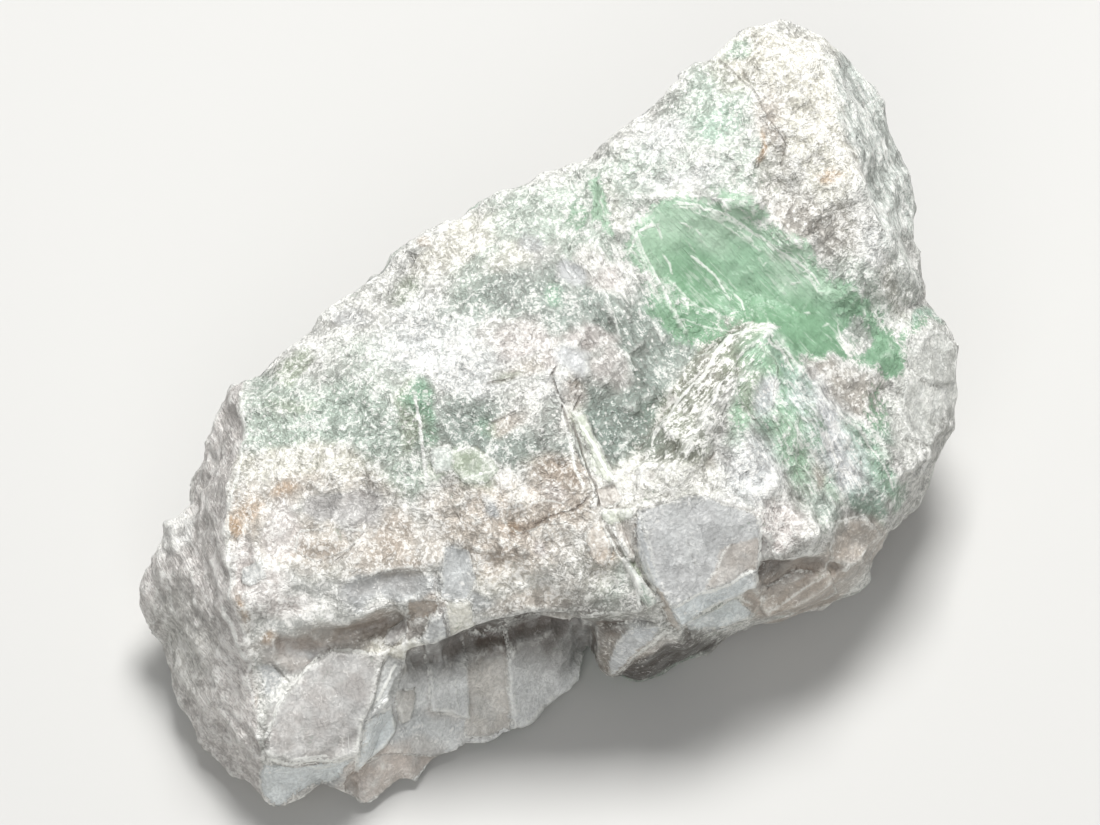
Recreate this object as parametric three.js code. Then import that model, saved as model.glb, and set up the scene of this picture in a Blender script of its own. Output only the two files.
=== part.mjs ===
// A palm-sized piece of rough variscite: one broken block of pale quartz and chalcedony, veined and
// stained with green variscite. It lies as it would on a table, on a few worn flats of its underside.
//
// The seen side is laid out on a face-on sheet. Each of its points is [across, down, out], where out
// is the height towards the eye. The sheet is then tilted back into the rock's own frame, which has
// +X along the block, +Z up and its origin under the middle of the block. All sizes are millimetres.

import * as THREE from "three";
import { ImprovedNoise } from "three/addons/math/ImprovedNoise.js";

// How the face-on sheet stands in the rock's frame.
const SHEET_TURN = THREE.MathUtils.degToRad(-46);
const SHEET_TILT = THREE.MathUtils.degToRad(58);
const SHEET_CENTRE = { across: 55, down: 41.25 };
const SHEET_CENTRE_HEIGHT = 20;
const EYE_DISTANCE = 600;

// How finely the surface is cut, and how rough it is.
const OUTLINE_STEP = 1.9;
const SEEN_EDGE = 2.85;
const HIDDEN_EDGE = 4.3;
const HIDDEN_SPACING = 2.7;
const SEEN_SMOOTHING = 3;
const HIDDEN_SMOOTHING = 14;
const RELIEF = [
  { wavelength: 13, height: 0.8 },
  { wavelength: 6, height: 0.55 },
  { wavelength: 3.4, height: 0.26 },
];
const POLISHED_RELIEF_SHARE = 0.25;
const CREASE_RELIEF_SHARE = 0.6;

// The block's edge against the background, clockwise from the summit.
const OUTLINE = [
  [78.3, 1.6, 0], [80.8, 2.7, -0.5], [82.8, 4, -1.5], [85.5, 6.1, -3], [87.8, 8.5, -4.5],
  [89.2, 13, -5.5], [90.7, 19, -6.5], [91.3, 23.2, -7], [91.1, 24, -7], [92.3, 27.5, -7],
  [92.8, 29.7, -7], [94, 31.2, -6.5], [95.5, 32.8, -6], [96.2, 34.5, -6], [95.8, 36.2, -6],
  [95.9, 39, -6], [95.5, 43, -6], [94.4, 44.8, -6], [93, 48, -7], [91.8, 51, -8],
  [90.5, 52.5, -7.5], [89.3, 53.5, -6], [88.7, 55, -4.5], [87.5, 55.8, -4.5], [87, 57.8, -5],
  [86, 59.2, -5.5], [84.8, 59.9, -6], [82, 60.5, -6.5], [80, 61.5, -6.8], [78, 62.2, -7],
  [75.6, 62.5, -6.5], [73.5, 63.2, -6.5], [71, 64.5, -6.5], [68.8, 65.5, -6.2], [67.8, 66.2, -6],
  [66, 67.5, -5.5], [64, 68.1, -5], [62, 68, -4.5], [60.5, 67.8, -3.8], [59.8, 67, -3.5],
  [59.4, 65.6, -4], [58.8, 64.8, -7], [58.8, 66, -6], [58.6, 67, -5.5], [58, 68.2, -5],
  [56.2, 69.5, -4.3], [54.5, 70.6, -3.6], [53.2, 72.2, -2.8], [51.7, 72.8, -2.4], [51, 73.5, -2],
  [48.5, 74.4, -1.4], [46.6, 74.4, -1.1], [45.5, 75.5, -0.6], [43.5, 76.4, 0], [42.5, 77.5, 0.5],
  [41.5, 78.1, 0.9], [40, 78.1, 1.1], [38.8, 79, 1.6], [37.5, 80.3, 2.2], [36.2, 80.5, 2.4],
  [34.5, 79.5, 2.2], [32.5, 78.5, 2.5], [31.5, 78.8, 4.5], [29.8, 80, 5], [28.5, 80.6, 5.2],
  [27, 80.8, 5], [26.2, 80.2, 4.6], [24.8, 78.8, 3.4], [24.3, 78.2, 3], [22.8, 78, 2],
  [21.5, 76.5, 1.5], [20, 74.5, 0.6], [19, 71.5, 0], [18, 70.2, -0.6], [17, 67.5, -1.4],
  [16, 64.5, -2.2], [14.8, 62.5, -2.4], [13.8, 60.5, -2.2], [13.7, 59, -1.8], [14.5, 57, -1],
  [15.5, 55.3, 0], [16.1, 54.5, 1], [16, 53, 1.5], [17.5, 51.7, 2.5], [18.7, 50.2, 3.2],
  [19.5, 48, 4], [20, 46, 4.5], [20.4, 44, 5], [21.2, 42, 5.5], [22.5, 40.2, 6],
  [23.2, 39, 6.3], [24.5, 38.2, 6.3], [26, 37.5, 6.4], [27.5, 35.7, 6.4], [29.8, 34, 6.2],
  [31.2, 33, 6.1], [32.2, 31.5, 6], [34, 29.8, 5.8], [36, 28.3, 5.5], [37.8, 27.2, 5.2],
  [39.5, 25.7, 5], [41.5, 24.3, 4.7], [42.5, 23.1, 4.5], [44.5, 22.1, 4.2], [46.5, 20.8, 3.8],
  [48, 20, 3.6], [51, 18.9, 3.2], [54.5, 17.5, 2.8], [56.8, 16.6, 2.6], [59, 15.5, 2.4],
  [60, 14.7, 2.4], [62, 13.1, 2.2], [64, 11.5, 2], [66, 9.7, 1.9], [68, 8, 1.7],
  [69, 6.8, 1.5], [71.2, 6, 1.3], [72.5, 4.5, 1], [74, 3.2, 0.7], [76, 2.2, 0.4],
];

// Sharp edges and valleys of the seen side.
const SEEN_LINES = {
  leftRidge: [
    [24.5, 38.2, 6.3], [24.4, 41, 9.5], [24.2, 44, 10.8], [23.7, 46, 11.4], [22.8, 48, 11.8],
    [22.4, 51, 12.3], [22.5, 54, 12.6], [23, 57, 12.9], [23.6, 59.8, 13], [24.6, 63.2, 12.4],
    [25.2, 66, 11.2], [24.8, 67.8, 10.6], [25.4, 70.9, 10.4], [25.9, 73.7, 9.8], [26.3, 76, 8.8],
    [26.4, 78.2, 7.2], [26.2, 80.2, 4.6],
  ],
  leftNub: [[19.5, 48, 4], [19.7, 49.5, 5.6], [19.5, 52, 5.8], [19, 54.5, 5.6], [18.1, 55.8, 4.4], [16.1, 54.5, 1]],
  leftRim: [[16, 58.5, 2.6], [16.6, 63, 1.5], [17.7, 67, 1.5], [19.2, 70.6, 2.2], [22.2, 75.5, 3.4]],
  upperShelfEdge: [[32.3, 62.1, 13.4], [34.3, 62.2, 13.6], [37.5, 61.2, 13.8], [40.6, 60.4, 13.9], [43, 60.1, 14.1]],
  upperShelfRoot: [[32.6, 63.3, 11.6], [35, 63.2, 10.9], [38, 62.4, 10.6], [40.3, 61.6, 11.4]],
  flakeTop: [
    [29, 67.3, 10.4], [30.8, 66.2, 10.7], [33.1, 65, 11], [35.1, 64, 11], [38.3, 64, 11.2],
    [40, 65, 11.3], [40.8, 65.5, 11.2],
  ],
  flakeLeft: [[29, 67.3, 10.4], [28.9, 69.3, 10.4], [27.6, 71.3, 10.3], [26.6, 74, 9.7]],
  flakeFoot: [[26.6, 74, 9.7], [28, 76.8, 9], [31.5, 77, 9], [35.6, 76, 8.6]],
  flakeRight: [[38.3, 64, 11.2], [37.9, 65.8, 11], [37.1, 69.7, 10.7], [36.2, 72.1, 10.2], [35.9, 74.8, 9.3], [35.6, 76, 8.6]],
  flakeBrink: [[40.8, 65.5, 11.2], [40.4, 66.6, 10.3], [39.8, 67.9, 9.8], [38.7, 70.1, 9.4], [36.2, 72.1, 10.2]],
  flakeTip: [[35.6, 76, 8.6], [34.6, 77.4, 6.4], [32.5, 78.5, 2.5]],
  flakeDrop: [[41.4, 66.7, 6.8], [40.8, 68.3, 6.4], [39.5, 70.9, 6.1], [37.9, 72.8, 5.7], [36.9, 75.2, 5], [36.4, 76.6, 4.2], [35.4, 77.9, 3.4]],
  lip: [
    [40.8, 65.5, 11.2], [42.5, 65.2, 11.8], [44.4, 65.1, 12], [45.7, 64.1, 12.2], [47.9, 63.3, 12.4],
    [51, 62.8, 12.6], [52.8, 62.3, 12.7], [54.6, 61.9, 12.7], [57.7, 62.1, 12.6], [59.7, 61.9, 12.4],
    [61.5, 61.4, 12.2], [63.3, 60.9, 12.2], [65.5, 60, 12.6],
  ],
  lipRoot: [
    [42, 66.5, 5.4], [44.5, 66.2, 4], [46.6, 65, 3.2], [48.4, 64.3, 2.8], [50.7, 64, 2.4],
    [53.4, 63.2, 1.4], [56, 63, 0.8], [58, 63.2, -0.4],
  ],
  scoopStep: [[50.7, 64, 2.4], [51, 68, 0.4], [51.4, 71.4, -1.4]],
  slit: [[58.8, 63, -0.8], [58.8, 64.8, -7]],
  blockSide: [[59.5, 62.9, 5], [59.9, 64.6, 3], [60.2, 66.2, -0.6]],
  blockTop: [[59.5, 62.9, 5], [61.5, 62.4, 7.8], [64, 61.7, 9.6], [66.2, 61.2, 10.8]],
  blockCrest: [[67.5, 63.2, 9.6], [66.2, 63.5, 8.8], [65, 65, 6.4], [63.6, 65.8, 4.4], [61.6, 66.9, 0.4], [60.5, 67.8, -3.8]],
  plateTop: [[63.7, 50.6, 15.6], [66.5, 50.2, 15.7], [70, 49.6, 15.5], [73, 50.2, 14.8], [75.7, 51.3, 13.6]],
  plateLeft: [[63.7, 50.6, 15.6], [64, 54, 14.9], [65, 57, 14], [66.2, 60, 13.1], [67.6, 61.6, 12.6], [68.3, 63.2, 11.8]],
  plateFoot: [[68.3, 63.2, 11.8], [70.5, 61.5, 11.5], [74, 60, 11], [75.7, 58.5, 10.7], [75.8, 56.8, 11.3]],
  plateRight: [[75.7, 51.3, 13.6], [75.9, 54, 12.5], [75.8, 56.8, 11.3]],
  plateBevel: [[67.6, 61.6, 12.6], [70.5, 59.3, 12.9], [73.7, 57.6, 12.3], [75.8, 56.8, 11.3]],
  ledgeRoot: [[69, 63.8, 8.2], [71.4, 62.3, 8.2], [74, 61.2, 7.8], [75.5, 60, 7], [76.4, 58.4, 6.8]],
  ledgeEdge: [[69.6, 64.2, 6.4], [72.6, 63, 5.8], [74.6, 62.2, 4.8]],
  fissureLeft: [
    [55.3, 37.5, 13.4], [57, 43, 13.5], [59, 47, 14], [60.5, 51.2, 15], [62, 54.5, 14.9],
    [64, 57.5, 14], [65.5, 60, 12.6],
  ],
  fissureFloor: [[57.6, 42.4, 12.6], [60.2, 47.2, 12.9], [61.6, 51, 14], [63.1, 55, 13.6], [64.9, 58.6, 12.6]],
  slotEdge: [[75.8, 56.8, 11.3], [78.5, 56.2, 11], [80.9, 55.1, 10.4], [82, 53.8, 9.5], [83.4, 52.4, 8.6]],
  slotRoot: [[77, 58, 6.8], [79.4, 57.3, 7.2], [81.5, 56.3, 7.4], [83.2, 54.8, 7.6]],
  footRidge: [[76, 61.7, 2.2], [78.5, 61, 4], [81.8, 59.2, 4.9], [84.7, 57.3, 5.2], [86.3, 55.9, 4.6], [88.2, 54, 2.6]],
  wedgeCrest: [[77, 33.2, 10.2], [74, 35.2, 11.8], [72.2, 38, 12.8], [70, 43, 14.2], [67.2, 46.8, 15.2], [63.7, 50.6, 15.6]],
  wedgeRight: [
    [77, 33.2, 10.2], [79.2, 35.6, 9.8], [79.9, 38.2, 9.8], [82.5, 40.7, 9], [85.5, 42.6, 7.8],
    [88, 45.2, 6.6], [90, 47.7, 5.2],
  ],
  wedgeRightRoot: [[80.7, 35.2, 7.6], [81.7, 37.4, 7.6], [84.3, 39.6, 6.7], [87.3, 41.6, 5.6]],
  wedgeValley: [[75.4, 32.2, 7.4], [72, 33.8, 7.9], [69, 36.4, 8.8], [66, 42, 10.6], [62.6, 47, 12.9]],
  rightCrest: [[90, 47.7, 5.2], [89.6, 50.4, 4.6], [88.9, 52.8, 3.6], [88.2, 54, 2.6]],
  rightFacet: [[93.6, 32.3, -2.6], [91.6, 35.5, 0.4], [89.8, 39.5, 2.4], [89.6, 43.6, 3.8], [90, 47.7, 5.2]],
  rightFacetFoot: [[90, 47.7, 5.2], [92.1, 45.9, 1.8], [94.4, 44.8, -6]],
  hollowRim: [
    [63, 19.8, 7.8], [66.5, 19.5, 8.3], [71, 19.6, 8.5], [74.2, 20.2, 8.5], [78.1, 22.7, 7.9],
    [82.5, 27.1, 6.2], [86, 29.4, 4.8],
  ],
  rightShoulder: [
    [80.8, 2.7, -0.5], [82.8, 5.5, 0.9], [83.6, 10.5, 3.8], [85, 15, 5.2], [86.1, 18.2, 5.5],
    [87.4, 21.4, 4.9], [88.8, 24.2, 3.6], [90.4, 27, 0.6], [92.3, 27.5, -7],
  ],
  summitStep: [[72.5, 4.5, 1], [75.3, 8.8, 4], [77, 12, 5.7], [78.6, 14.4, 6.4], [78.1, 17.1, 7.2]],
};

// Rounded ground between those lines, point by point.
const SEEN_SPOTS = [
  [30, 36.5, 9], [28, 42, 11.6], [27, 50, 13.2], [28, 56.4, 14], [27.4, 60.4, 13.4], [35, 33, 8.4],
  [36, 39.5, 12], [36, 46, 14], [34, 51, 14.8], [36, 57, 15], [44, 25.8, 7.2], [43, 33, 11.2],
  [41, 38, 12.8], [45, 42, 13.8], [44, 50, 15.4], [40, 54, 14.6], [46, 58, 14.8], [49, 54, 15.3],
  [52, 22.4, 6.6], [48, 27, 8.8], [52, 30, 10.6], [48, 36, 12.9], [52.5, 38, 13.2], [50, 46, 14.8],
  [54, 47, 14.5], [54, 54, 15.3], [54, 59, 14], [58.6, 56.4, 14.8], [60, 59.4, 13.5], [60, 25.6, 9.2],
  [56, 26, 8.4], [59.5, 32, 11.2], [61, 39, 12], [64, 34, 9.8], [67, 14, 5.4], [64.5, 25, 7.8],
  [62, 17, 5.6], [69, 24, 6.6], [70, 29, 6.2], [74, 25, 6.4], [76, 29.4, 5.9], [80, 31.4, 5.6],
  [83.6, 33.6, 5], [87, 34, 3.6], [84.4, 36.8, 5.6], [87.6, 38.6, 3.8], [88.2, 42.6, 4.6],
  [74, 42, 13], [77, 38.4, 11.3], [76, 47, 13.2], [80, 45, 11], [84, 47, 9], [87.2, 49.6, 6.8],
  [70, 46.6, 14.6], [70.5, 54, 14.4], [79, 51.5, 12.6], [81.5, 49.6, 10.8], [84.4, 54.2, 7],
  [86.6, 52.6, 5.6], [79, 7, 4.2], [73, 9.6, 3.6], [74.4, 14.6, 6.6], [80.8, 11.6, 6], [81.6, 17, 7.2],
  [82, 21.6, 7], [70, 12.4, 5.8], [71, 16.6, 7.4], [78.6, 19.4, 7.9], [86, 25.6, 5], [94, 38.6, -2],
  [92.6, 42.4, -0.6], [92.9, 29.9, -5.4], [87.4, 14, 0.4], [30, 62.2, 13], [28, 64.6, 12], [30.4, 64.5, 11.2],
  [33, 70.5, 10.8], [32, 74, 10], [27, 68.9, 9.9], [44.5, 69.5, 2.7], [47.5, 67.4, 1.5],
  [47.5, 71, -0.1], [41.8, 72.6, 3.2], [39.5, 76, 2.9], [43.8, 74, 1], [54.4, 66, -1.1],
  [56.8, 65.6, -2.6], [53.8, 68.6, -2.9], [61.8, 64.4, 4.6], [64, 63.3, 7.6], [64.6, 66.6, 1.4],
  [68.4, 64.9, 3], [72, 63.8, 1], [78.6, 59.2, 5.8], [82, 57.4, 6.4], [84.9, 55.6, 6.2],
  [19.4, 60, 6.4], [21.2, 65.4, 6.8], [21.4, 70, 6], [23.4, 75, 5.8], [21.6, 46, 7.8],
  [20.9, 51.4, 9.4], [20.6, 55.6, 8.6], [29.6, 78.8, 7],
];

// The hidden side is broken along flat faces. Each goes through a point of the rock's own frame,
// before the rock is set over its origin, and faces the way of its normal. A face that would cut
// into the seen side is moved out until it clears it.
const HIDDEN_FACES = [
  { through: [-24, 22, 26], facing: [-0.22, 0.95, 0.2] },
  { through: [4, 18, 33], facing: [0.16, 0.95, 0.24] },
  { through: [24, 11, 36], facing: [0.46, 0.87, 0.16] },
  { through: [41, 5, 37], facing: [0.9, 0.42, 0.12] },
  { through: [42, -4, 20], facing: [0.98, -0.1, -0.12] },
  { through: [37, -20, 15], facing: [0.8, -0.5, -0.34] },
  { through: [22, -30, 7], facing: [0.36, -0.6, -0.72] },
  { through: [3, 26.5, 10], facing: [0.1, 0.86, -0.5] },
  { through: [-28, 23.6, 8], facing: [-0.4, 0.76, -0.52] },
  { through: [32, 15.6, 9], facing: [0.56, 0.68, -0.48] },
  { through: [-42, 4, 2], facing: [-0.7, 0.12, -0.7] },
  { through: [0, 0, -0.3], facing: [0, 0, -1] },
];
const HIDDEN_CLEARANCE = 0.3;
// The least that the hidden side falls away from the outline.
const RIM_FALL = 0.3;
const HIDDEN_RELIEF = { wavelength: 23, height: 2.4 };
// Near the outline the hidden side keeps its first shape, so that it stays hidden.
const RIM_QUIET = 9;

// Flakes struck off the hidden side: the way each scar faces, and how deep it goes.
const SCARS = [
  { facing: [-0.12, 0.98, -0.16], depth: 1.8 },
  { facing: [0.42, 0.9, -0.08], depth: 1.6 },
  { facing: [-0.62, 0.7, -0.34], depth: 2.4 },
  { facing: [0.1, 0.78, -0.62], depth: 2.2 },
  { facing: [0.72, 0.5, -0.48], depth: 2.6 },
  { facing: [0.9, -0.2, -0.4], depth: 2 },
  { facing: [-0.3, 0.62, -0.72], depth: 1.8 },
  { facing: [0.5, -0.42, -0.76], depth: 1.6 },
];

// Glassy breaks, where the relief is faint: [across, down, out] and a radius.
const POLISHED = [
  { at: [72, 25.5, 7], radius: 9 },
  { at: [81, 33, 5.6], radius: 6 },
  { at: [70, 55, 14], radius: 7.5 },
  { at: [33, 71, 10.4], radius: 6.5 },
  { at: [47, 70, 3], radius: 9 },
  { at: [94, 39, -2], radius: 6 },
];

const SHEET_ACROSS = new THREE.Vector3(Math.cos(SHEET_TURN), Math.sin(SHEET_TURN), 0);
const SHEET_OUT = new THREE.Vector3(
  Math.sin(SHEET_TURN) * Math.cos(SHEET_TILT),
  -Math.cos(SHEET_TURN) * Math.cos(SHEET_TILT),
  Math.sin(SHEET_TILT),
);
const SHEET_UP = new THREE.Vector3().crossVectors(SHEET_OUT, SHEET_ACROSS);
const SHEET_ORIGIN = new THREE.Vector3(0, 0, SHEET_CENTRE_HEIGHT);

// A point of the face-on sheet: x and y on the sheet about its centre, and out.
function onSheet([across, down, out]) {
  return { x: across - SHEET_CENTRE.across, y: SHEET_CENTRE.down - down, out };
}

// The same point in the rock's frame. What stands out towards the eye looks larger, so it is shrunk.
function inRock({ x, y, out }) {
  const shrink = (EYE_DISTANCE - out) / EYE_DISTANCE;
  return SHEET_ORIGIN.clone()
    .addScaledVector(SHEET_ACROSS, x * shrink)
    .addScaledVector(SHEET_UP, y * shrink)
    .addScaledVector(SHEET_OUT, out);
}

function between(a, b, share) {
  const mix = THREE.MathUtils.lerp;
  return { x: mix(a.x, b.x, share), y: mix(a.y, b.y, share), out: mix(a.out, b.out, share) };
}

// The outline with extra points, so that no step is longer than OUTLINE_STEP.
function evenOutline(corners) {
  return corners.flatMap((corner, i) => {
    const next = corners[(i + 1) % corners.length];
    const steps = Math.ceil(Math.hypot(next.x - corner.x, next.y - corner.y) / OUTLINE_STEP);
    return Array.from({ length: steps }, (_, step) => between(corner, next, step / steps));
  });
}

function isInside(outline, x, y) {
  let inside = false;
  outline.forEach((a, i) => {
    const b = outline[(i + 1) % outline.length];
    if (a.y > y !== b.y > y && x < a.x + ((b.x - a.x) * (y - a.y)) / (b.y - a.y)) inside = !inside;
  });
  return inside;
}

const edgeKey = (a, b) => (a < b ? `${a}_${b}` : `${b}_${a}`);

// Delaunay triangles over points of the sheet, each turning left, by adding one point at a time.
function delaunay(points) {
  const far = 2000;
  const hair = 1e-4; // keeps four points of a rectangle off one circle
  const all = points.map(({ x, y }, i) => [x + hair * Math.sin(12.9 * i), y + hair * Math.cos(7.7 * i)]);
  all.push([-far, -far], [far, -far], [0, far]);
  const circled = (a, b, c) => {
    const [ax, ay] = all[a];
    const [bx, by] = [all[b][0] - ax, all[b][1] - ay];
    const [cx, cy] = [all[c][0] - ax, all[c][1] - ay];
    const twice = 2 * (bx * cy - by * cx);
    const x = (cy * (bx * bx + by * by) - by * (cx * cx + cy * cy)) / twice;
    const y = (bx * (cx * cx + cy * cy) - cx * (bx * bx + by * by)) / twice;
    return { corners: [a, b, c], x: ax + x, y: ay + y, squared: x * x + y * y };
  };
  let triangles = [circled(points.length, points.length + 1, points.length + 2)];
  points.forEach((_, i) => {
    const [px, py] = all[i];
    const rim = new Map();
    triangles = triangles.filter(({ corners, x, y, squared }) => {
      if ((px - x) ** 2 + (py - y) ** 2 > squared) return true;
      corners.forEach((corner, k) => {
        const next = corners[(k + 1) % 3];
        const key = edgeKey(corner, next);
        if (rim.has(key)) rim.delete(key);
        else rim.set(key, [corner, next]);
      });
      return false;
    });
    rim.forEach(([a, b]) => triangles.push(circled(a, b, i)));
  });
  return triangles.map(({ corners }) => corners).filter((corners) => corners.every((c) => c < points.length));
}

// One side of the rock: a net of triangles over the outline that keeps every given line as edges.
function netOver(outline, lines, spots) {
  const points = [...outline];
  const placed = new Map(points.map((p, i) => [`${p.x.toFixed(3)}_${p.y.toFixed(3)}`, i]));
  const place = (p) => {
    const key = `${p.x.toFixed(3)}_${p.y.toFixed(3)}`;
    if (!placed.has(key)) {
      placed.set(key, points.length);
      points.push(p);
    }
    return placed.get(key);
  };
  let segments = lines.flatMap((line) => {
    const ids = line.map(place);
    return ids.slice(1).map((id, i) => [ids[i], id]);
  });
  spots.forEach(place);
  for (let round = 0; round < 12; round += 1) {
    const triangles = delaunay(points).filter((corners) => {
      const middle = (axis) => corners.reduce((sum, c) => sum + points[c][axis] / 3, 0);
      return isInside(outline, middle("x"), middle("y"));
    });
    const edges = new Set(triangles.flatMap(([a, b, c]) => [edgeKey(a, b), edgeKey(b, c), edgeKey(c, a)]));
    const missing = segments.filter(([a, b]) => !edges.has(edgeKey(a, b)));
    const lost = outline.findIndex((_, i) => !edges.has(edgeKey(i, (i + 1) % outline.length)));
    if (lost >= 0) throw new Error(`the outline is crossed near x ${outline[lost].x}, y ${outline[lost].y}`);
    if (!missing.length) return { points, triangles, segments };
    segments = segments.flatMap(([a, b]) => {
      if (edges.has(edgeKey(a, b))) return [[a, b]];
      const middle = place(between(points[a], points[b], 0.5));
      return [[a, middle], [middle, b]];
    });
  }
  throw new Error("two lines cross");
}

// Where a face lies behind the sheet, and how fast it falls away across it.
function faceBehind({ through, facing }, seenPlaces) {
  const normal = new THREE.Vector3(...facing).normalize();
  const across = normal.dot(SHEET_ACROSS);
  const up = normal.dot(SHEET_UP);
  const away = normal.dot(SHEET_OUT);
  const clear = Math.max(...seenPlaces.map((place) => normal.dot(place))) + HIDDEN_CLEARANCE;
  const offset = Math.max(normal.dot(new THREE.Vector3(...through)), clear) - normal.dot(SHEET_ORIGIN);
  return {
    slope: new THREE.Vector2(-across / away, -up / away),
    outAt: (x, y) => (offset - x * across - y * up) / (away - (x * across + y * up) / EYE_DISTANCE),
  };
}

// The nearest point of the outline.
function nearestRim(outline, x, y) {
  return outline.reduce(
    (best, point) => {
      const distance = Math.hypot(point.x - x, point.y - y);
      return distance < best.distance ? { distance, out: point.out } : best;
    },
    { distance: Infinity, out: 0 },
  );
}

// Points of the hidden side: a staggered grid behind the outline, pulled on to the edges between faces.
function hiddenSpots(outline, seenPlaces) {
  const faces = HIDDEN_FACES.map((face) => faceBehind(face, seenPlaces));
  const rank = (x, y) => faces.map(({ slope, outAt }) => ({ slope, out: outAt(x, y) })).sort((a, b) => b.out - a.out);
  const spots = [];
  for (let row = -20; row <= 20; row += 1) {
    for (let column = -20; column <= 20; column += 1) {
      let x = (column + (row % 2) / 2) * HIDDEN_SPACING;
      let y = row * HIDDEN_SPACING * 0.87;
      const [first, second] = rank(x, y);
      const bend = first.slope.clone().sub(second.slope);
      const toEdge = (first.out - second.out) / bend.length();
      if (toEdge < HIDDEN_SPACING * 0.55) {
        x -= (bend.x / bend.length()) * toEdge;
        y -= (bend.y / bend.length()) * toEdge;
      }
      const rim = nearestRim(outline, x, y);
      const crowded = spots.some((spot) => Math.hypot(spot.x - x, spot.y - y) < HIDDEN_SPACING * 0.4);
      if (isInside(outline, x, y) && rim.distance > HIDDEN_SPACING * 0.6 && !crowded) {
        spots.push({ x, y, out: Math.min(rank(x, y)[0].out, rim.out - RIM_FALL * rim.distance) });
      }
    }
  }
  return spots;
}

// The two sides joined along the outline, as places, triangles and the set of creased edges.
function joinSides(outline, seen, hidden) {
  const count = outline.length;
  const shift = seen.points.length - count;
  const places = [...seen.points, ...hidden.points.slice(count)].map(inRock);
  const isHidden = places.map((_, i) => i >= seen.points.length);
  const moved = (id) => (id < count ? id : id + shift);
  const creases = new Set([
    ...outline.map((_, i) => edgeKey(i, (i + 1) % count)),
    ...seen.segments.map(([a, b]) => edgeKey(a, b)),
  ]);
  const triangles = [
    ...seen.triangles,
    ...hidden.triangles.map(([a, b, c]) => [moved(a), moved(c), moved(b)]),
  ];
  return { places, triangles, creases, isHidden };
}

// Halves every edge that is too long for its side, again and again, and keeps the creases.
function refine(surface) {
  const { places, creases, isHidden } = surface;
  let { triangles } = surface;
  for (;;) {
    const middles = new Map();
    const middleOf = (a, b) => {
      const key = edgeKey(a, b);
      if (middles.has(key)) return middles.get(key);
      const behind = isHidden[a] || isHidden[b];
      if (places[a].distanceTo(places[b]) <= (behind ? HIDDEN_EDGE : SEEN_EDGE)) return undefined;
      const id = places.push(places[a].clone().lerp(places[b], 0.5)) - 1;
      isHidden.push(behind);
      middles.set(key, id);
      if (creases.delete(key)) creases.add(edgeKey(a, id)).add(edgeKey(id, b));
      return id;
    };
    triangles = triangles.flatMap((corners) => splitTriangle(corners, middleOf, places));
    if (!middles.size) return { places, triangles, creases, isHidden };
  }
}

function splitTriangle(corners, middleOf, places) {
  const middles = corners.map((corner, i) => middleOf(corner, corners[(i + 1) % 3]));
  const cuts = middles.filter((m) => m !== undefined).length;
  if (cuts === 0) return [corners];
  const first = cuts === 1 ? middles.findIndex((m) => m !== undefined) : (middles.indexOf(undefined) + 1) % 3;
  const [a, b, c] = [0, 1, 2].map((i) => corners[(first + i) % 3]);
  const [ab, bc, ca] = [0, 1, 2].map((i) => middles[(first + i) % 3]);
  if (cuts === 1) return [[a, ab, c], [ab, b, c]];
  if (cuts === 3) return [[a, ab, ca], [ab, b, bc], [ca, bc, c], [ab, bc, ca]];
  return places[a].distanceTo(places[bc]) < places[ab].distanceTo(places[c])
    ? [[a, ab, bc], [ab, b, bc], [a, bc, c]]
    : [[a, ab, c], [ab, b, bc], [ab, bc, c]];
}

function neighboursOf(count, triangles) {
  const neighbours = Array.from({ length: count }, () => new Set());
  triangles.forEach(([a, b, c]) => {
    neighbours[a].add(b).add(c);
    neighbours[b].add(a).add(c);
    neighbours[c].add(a).add(b);
  });
  return neighbours;
}

// Rounds the ground between the creases, and leaves the creases where they are.
function smoothBetweenCreases({ places, triangles, creases, isHidden }) {
  const creased = new Set([...creases].flatMap((key) => key.split("_").map(Number)));
  const neighbours = neighboursOf(places.length, triangles);
  for (let round = 0; round < HIDDEN_SMOOTHING; round += 1) {
    const moved = places.map((place, i) => {
      if (creased.has(i) || (!isHidden[i] && round >= SEEN_SMOOTHING)) return place;
      const mean = new THREE.Vector3();
      neighbours[i].forEach((n) => mean.addScaledVector(places[n], 1 / neighbours[i].size));
      return place.clone().lerp(mean, 0.5);
    });
    moved.forEach((place, i) => places[i].copy(place));
  }
  return creased;
}

function vertexNormals({ places, triangles }) {
  const normals = places.map(() => new THREE.Vector3());
  triangles.forEach(([a, b, c]) => {
    const ab = places[b].clone().sub(places[a]);
    const face = places[c].clone().sub(places[a]).cross(ab).negate();
    [a, b, c].forEach((corner) => normals[corner].add(face));
  });
  return normals.map((normal) => normal.normalize());
}

const noise = new ImprovedNoise();

// The broken grain of the rock: lumps of three sizes, fainter on the glassy breaks.
function roughen(surface, creased, freedom) {
  const polished = POLISHED.map(({ at, radius }) => ({ centre: inRock(onSheet(at)), radius }));
  const normals = vertexNormals(surface);
  surface.places.forEach((place, i) => {
    const layers = surface.isHidden[i] ? [...RELIEF, HIDDEN_RELIEF] : RELIEF;
    const lump = layers.reduce((sum, { wavelength, height }, layer) => {
      const p = place.clone().divideScalar(wavelength);
      return sum + height * noise.noise(p.x + 31 * layer, p.y + 17, p.z + 5);
    }, 0);
    const gloss = Math.max(
      0,
      ...polished.map(({ centre, radius }) => 1 - THREE.MathUtils.smoothstep(place.distanceTo(centre), radius * 0.7, radius * 1.2)),
    );
    const share = THREE.MathUtils.lerp(1, POLISHED_RELIEF_SHARE, gloss) * (creased.has(i) ? CREASE_RELIEF_SHARE : 1);
    place.addScaledVector(normals[i], lump * share * freedom[i]);
  });
}

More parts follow.
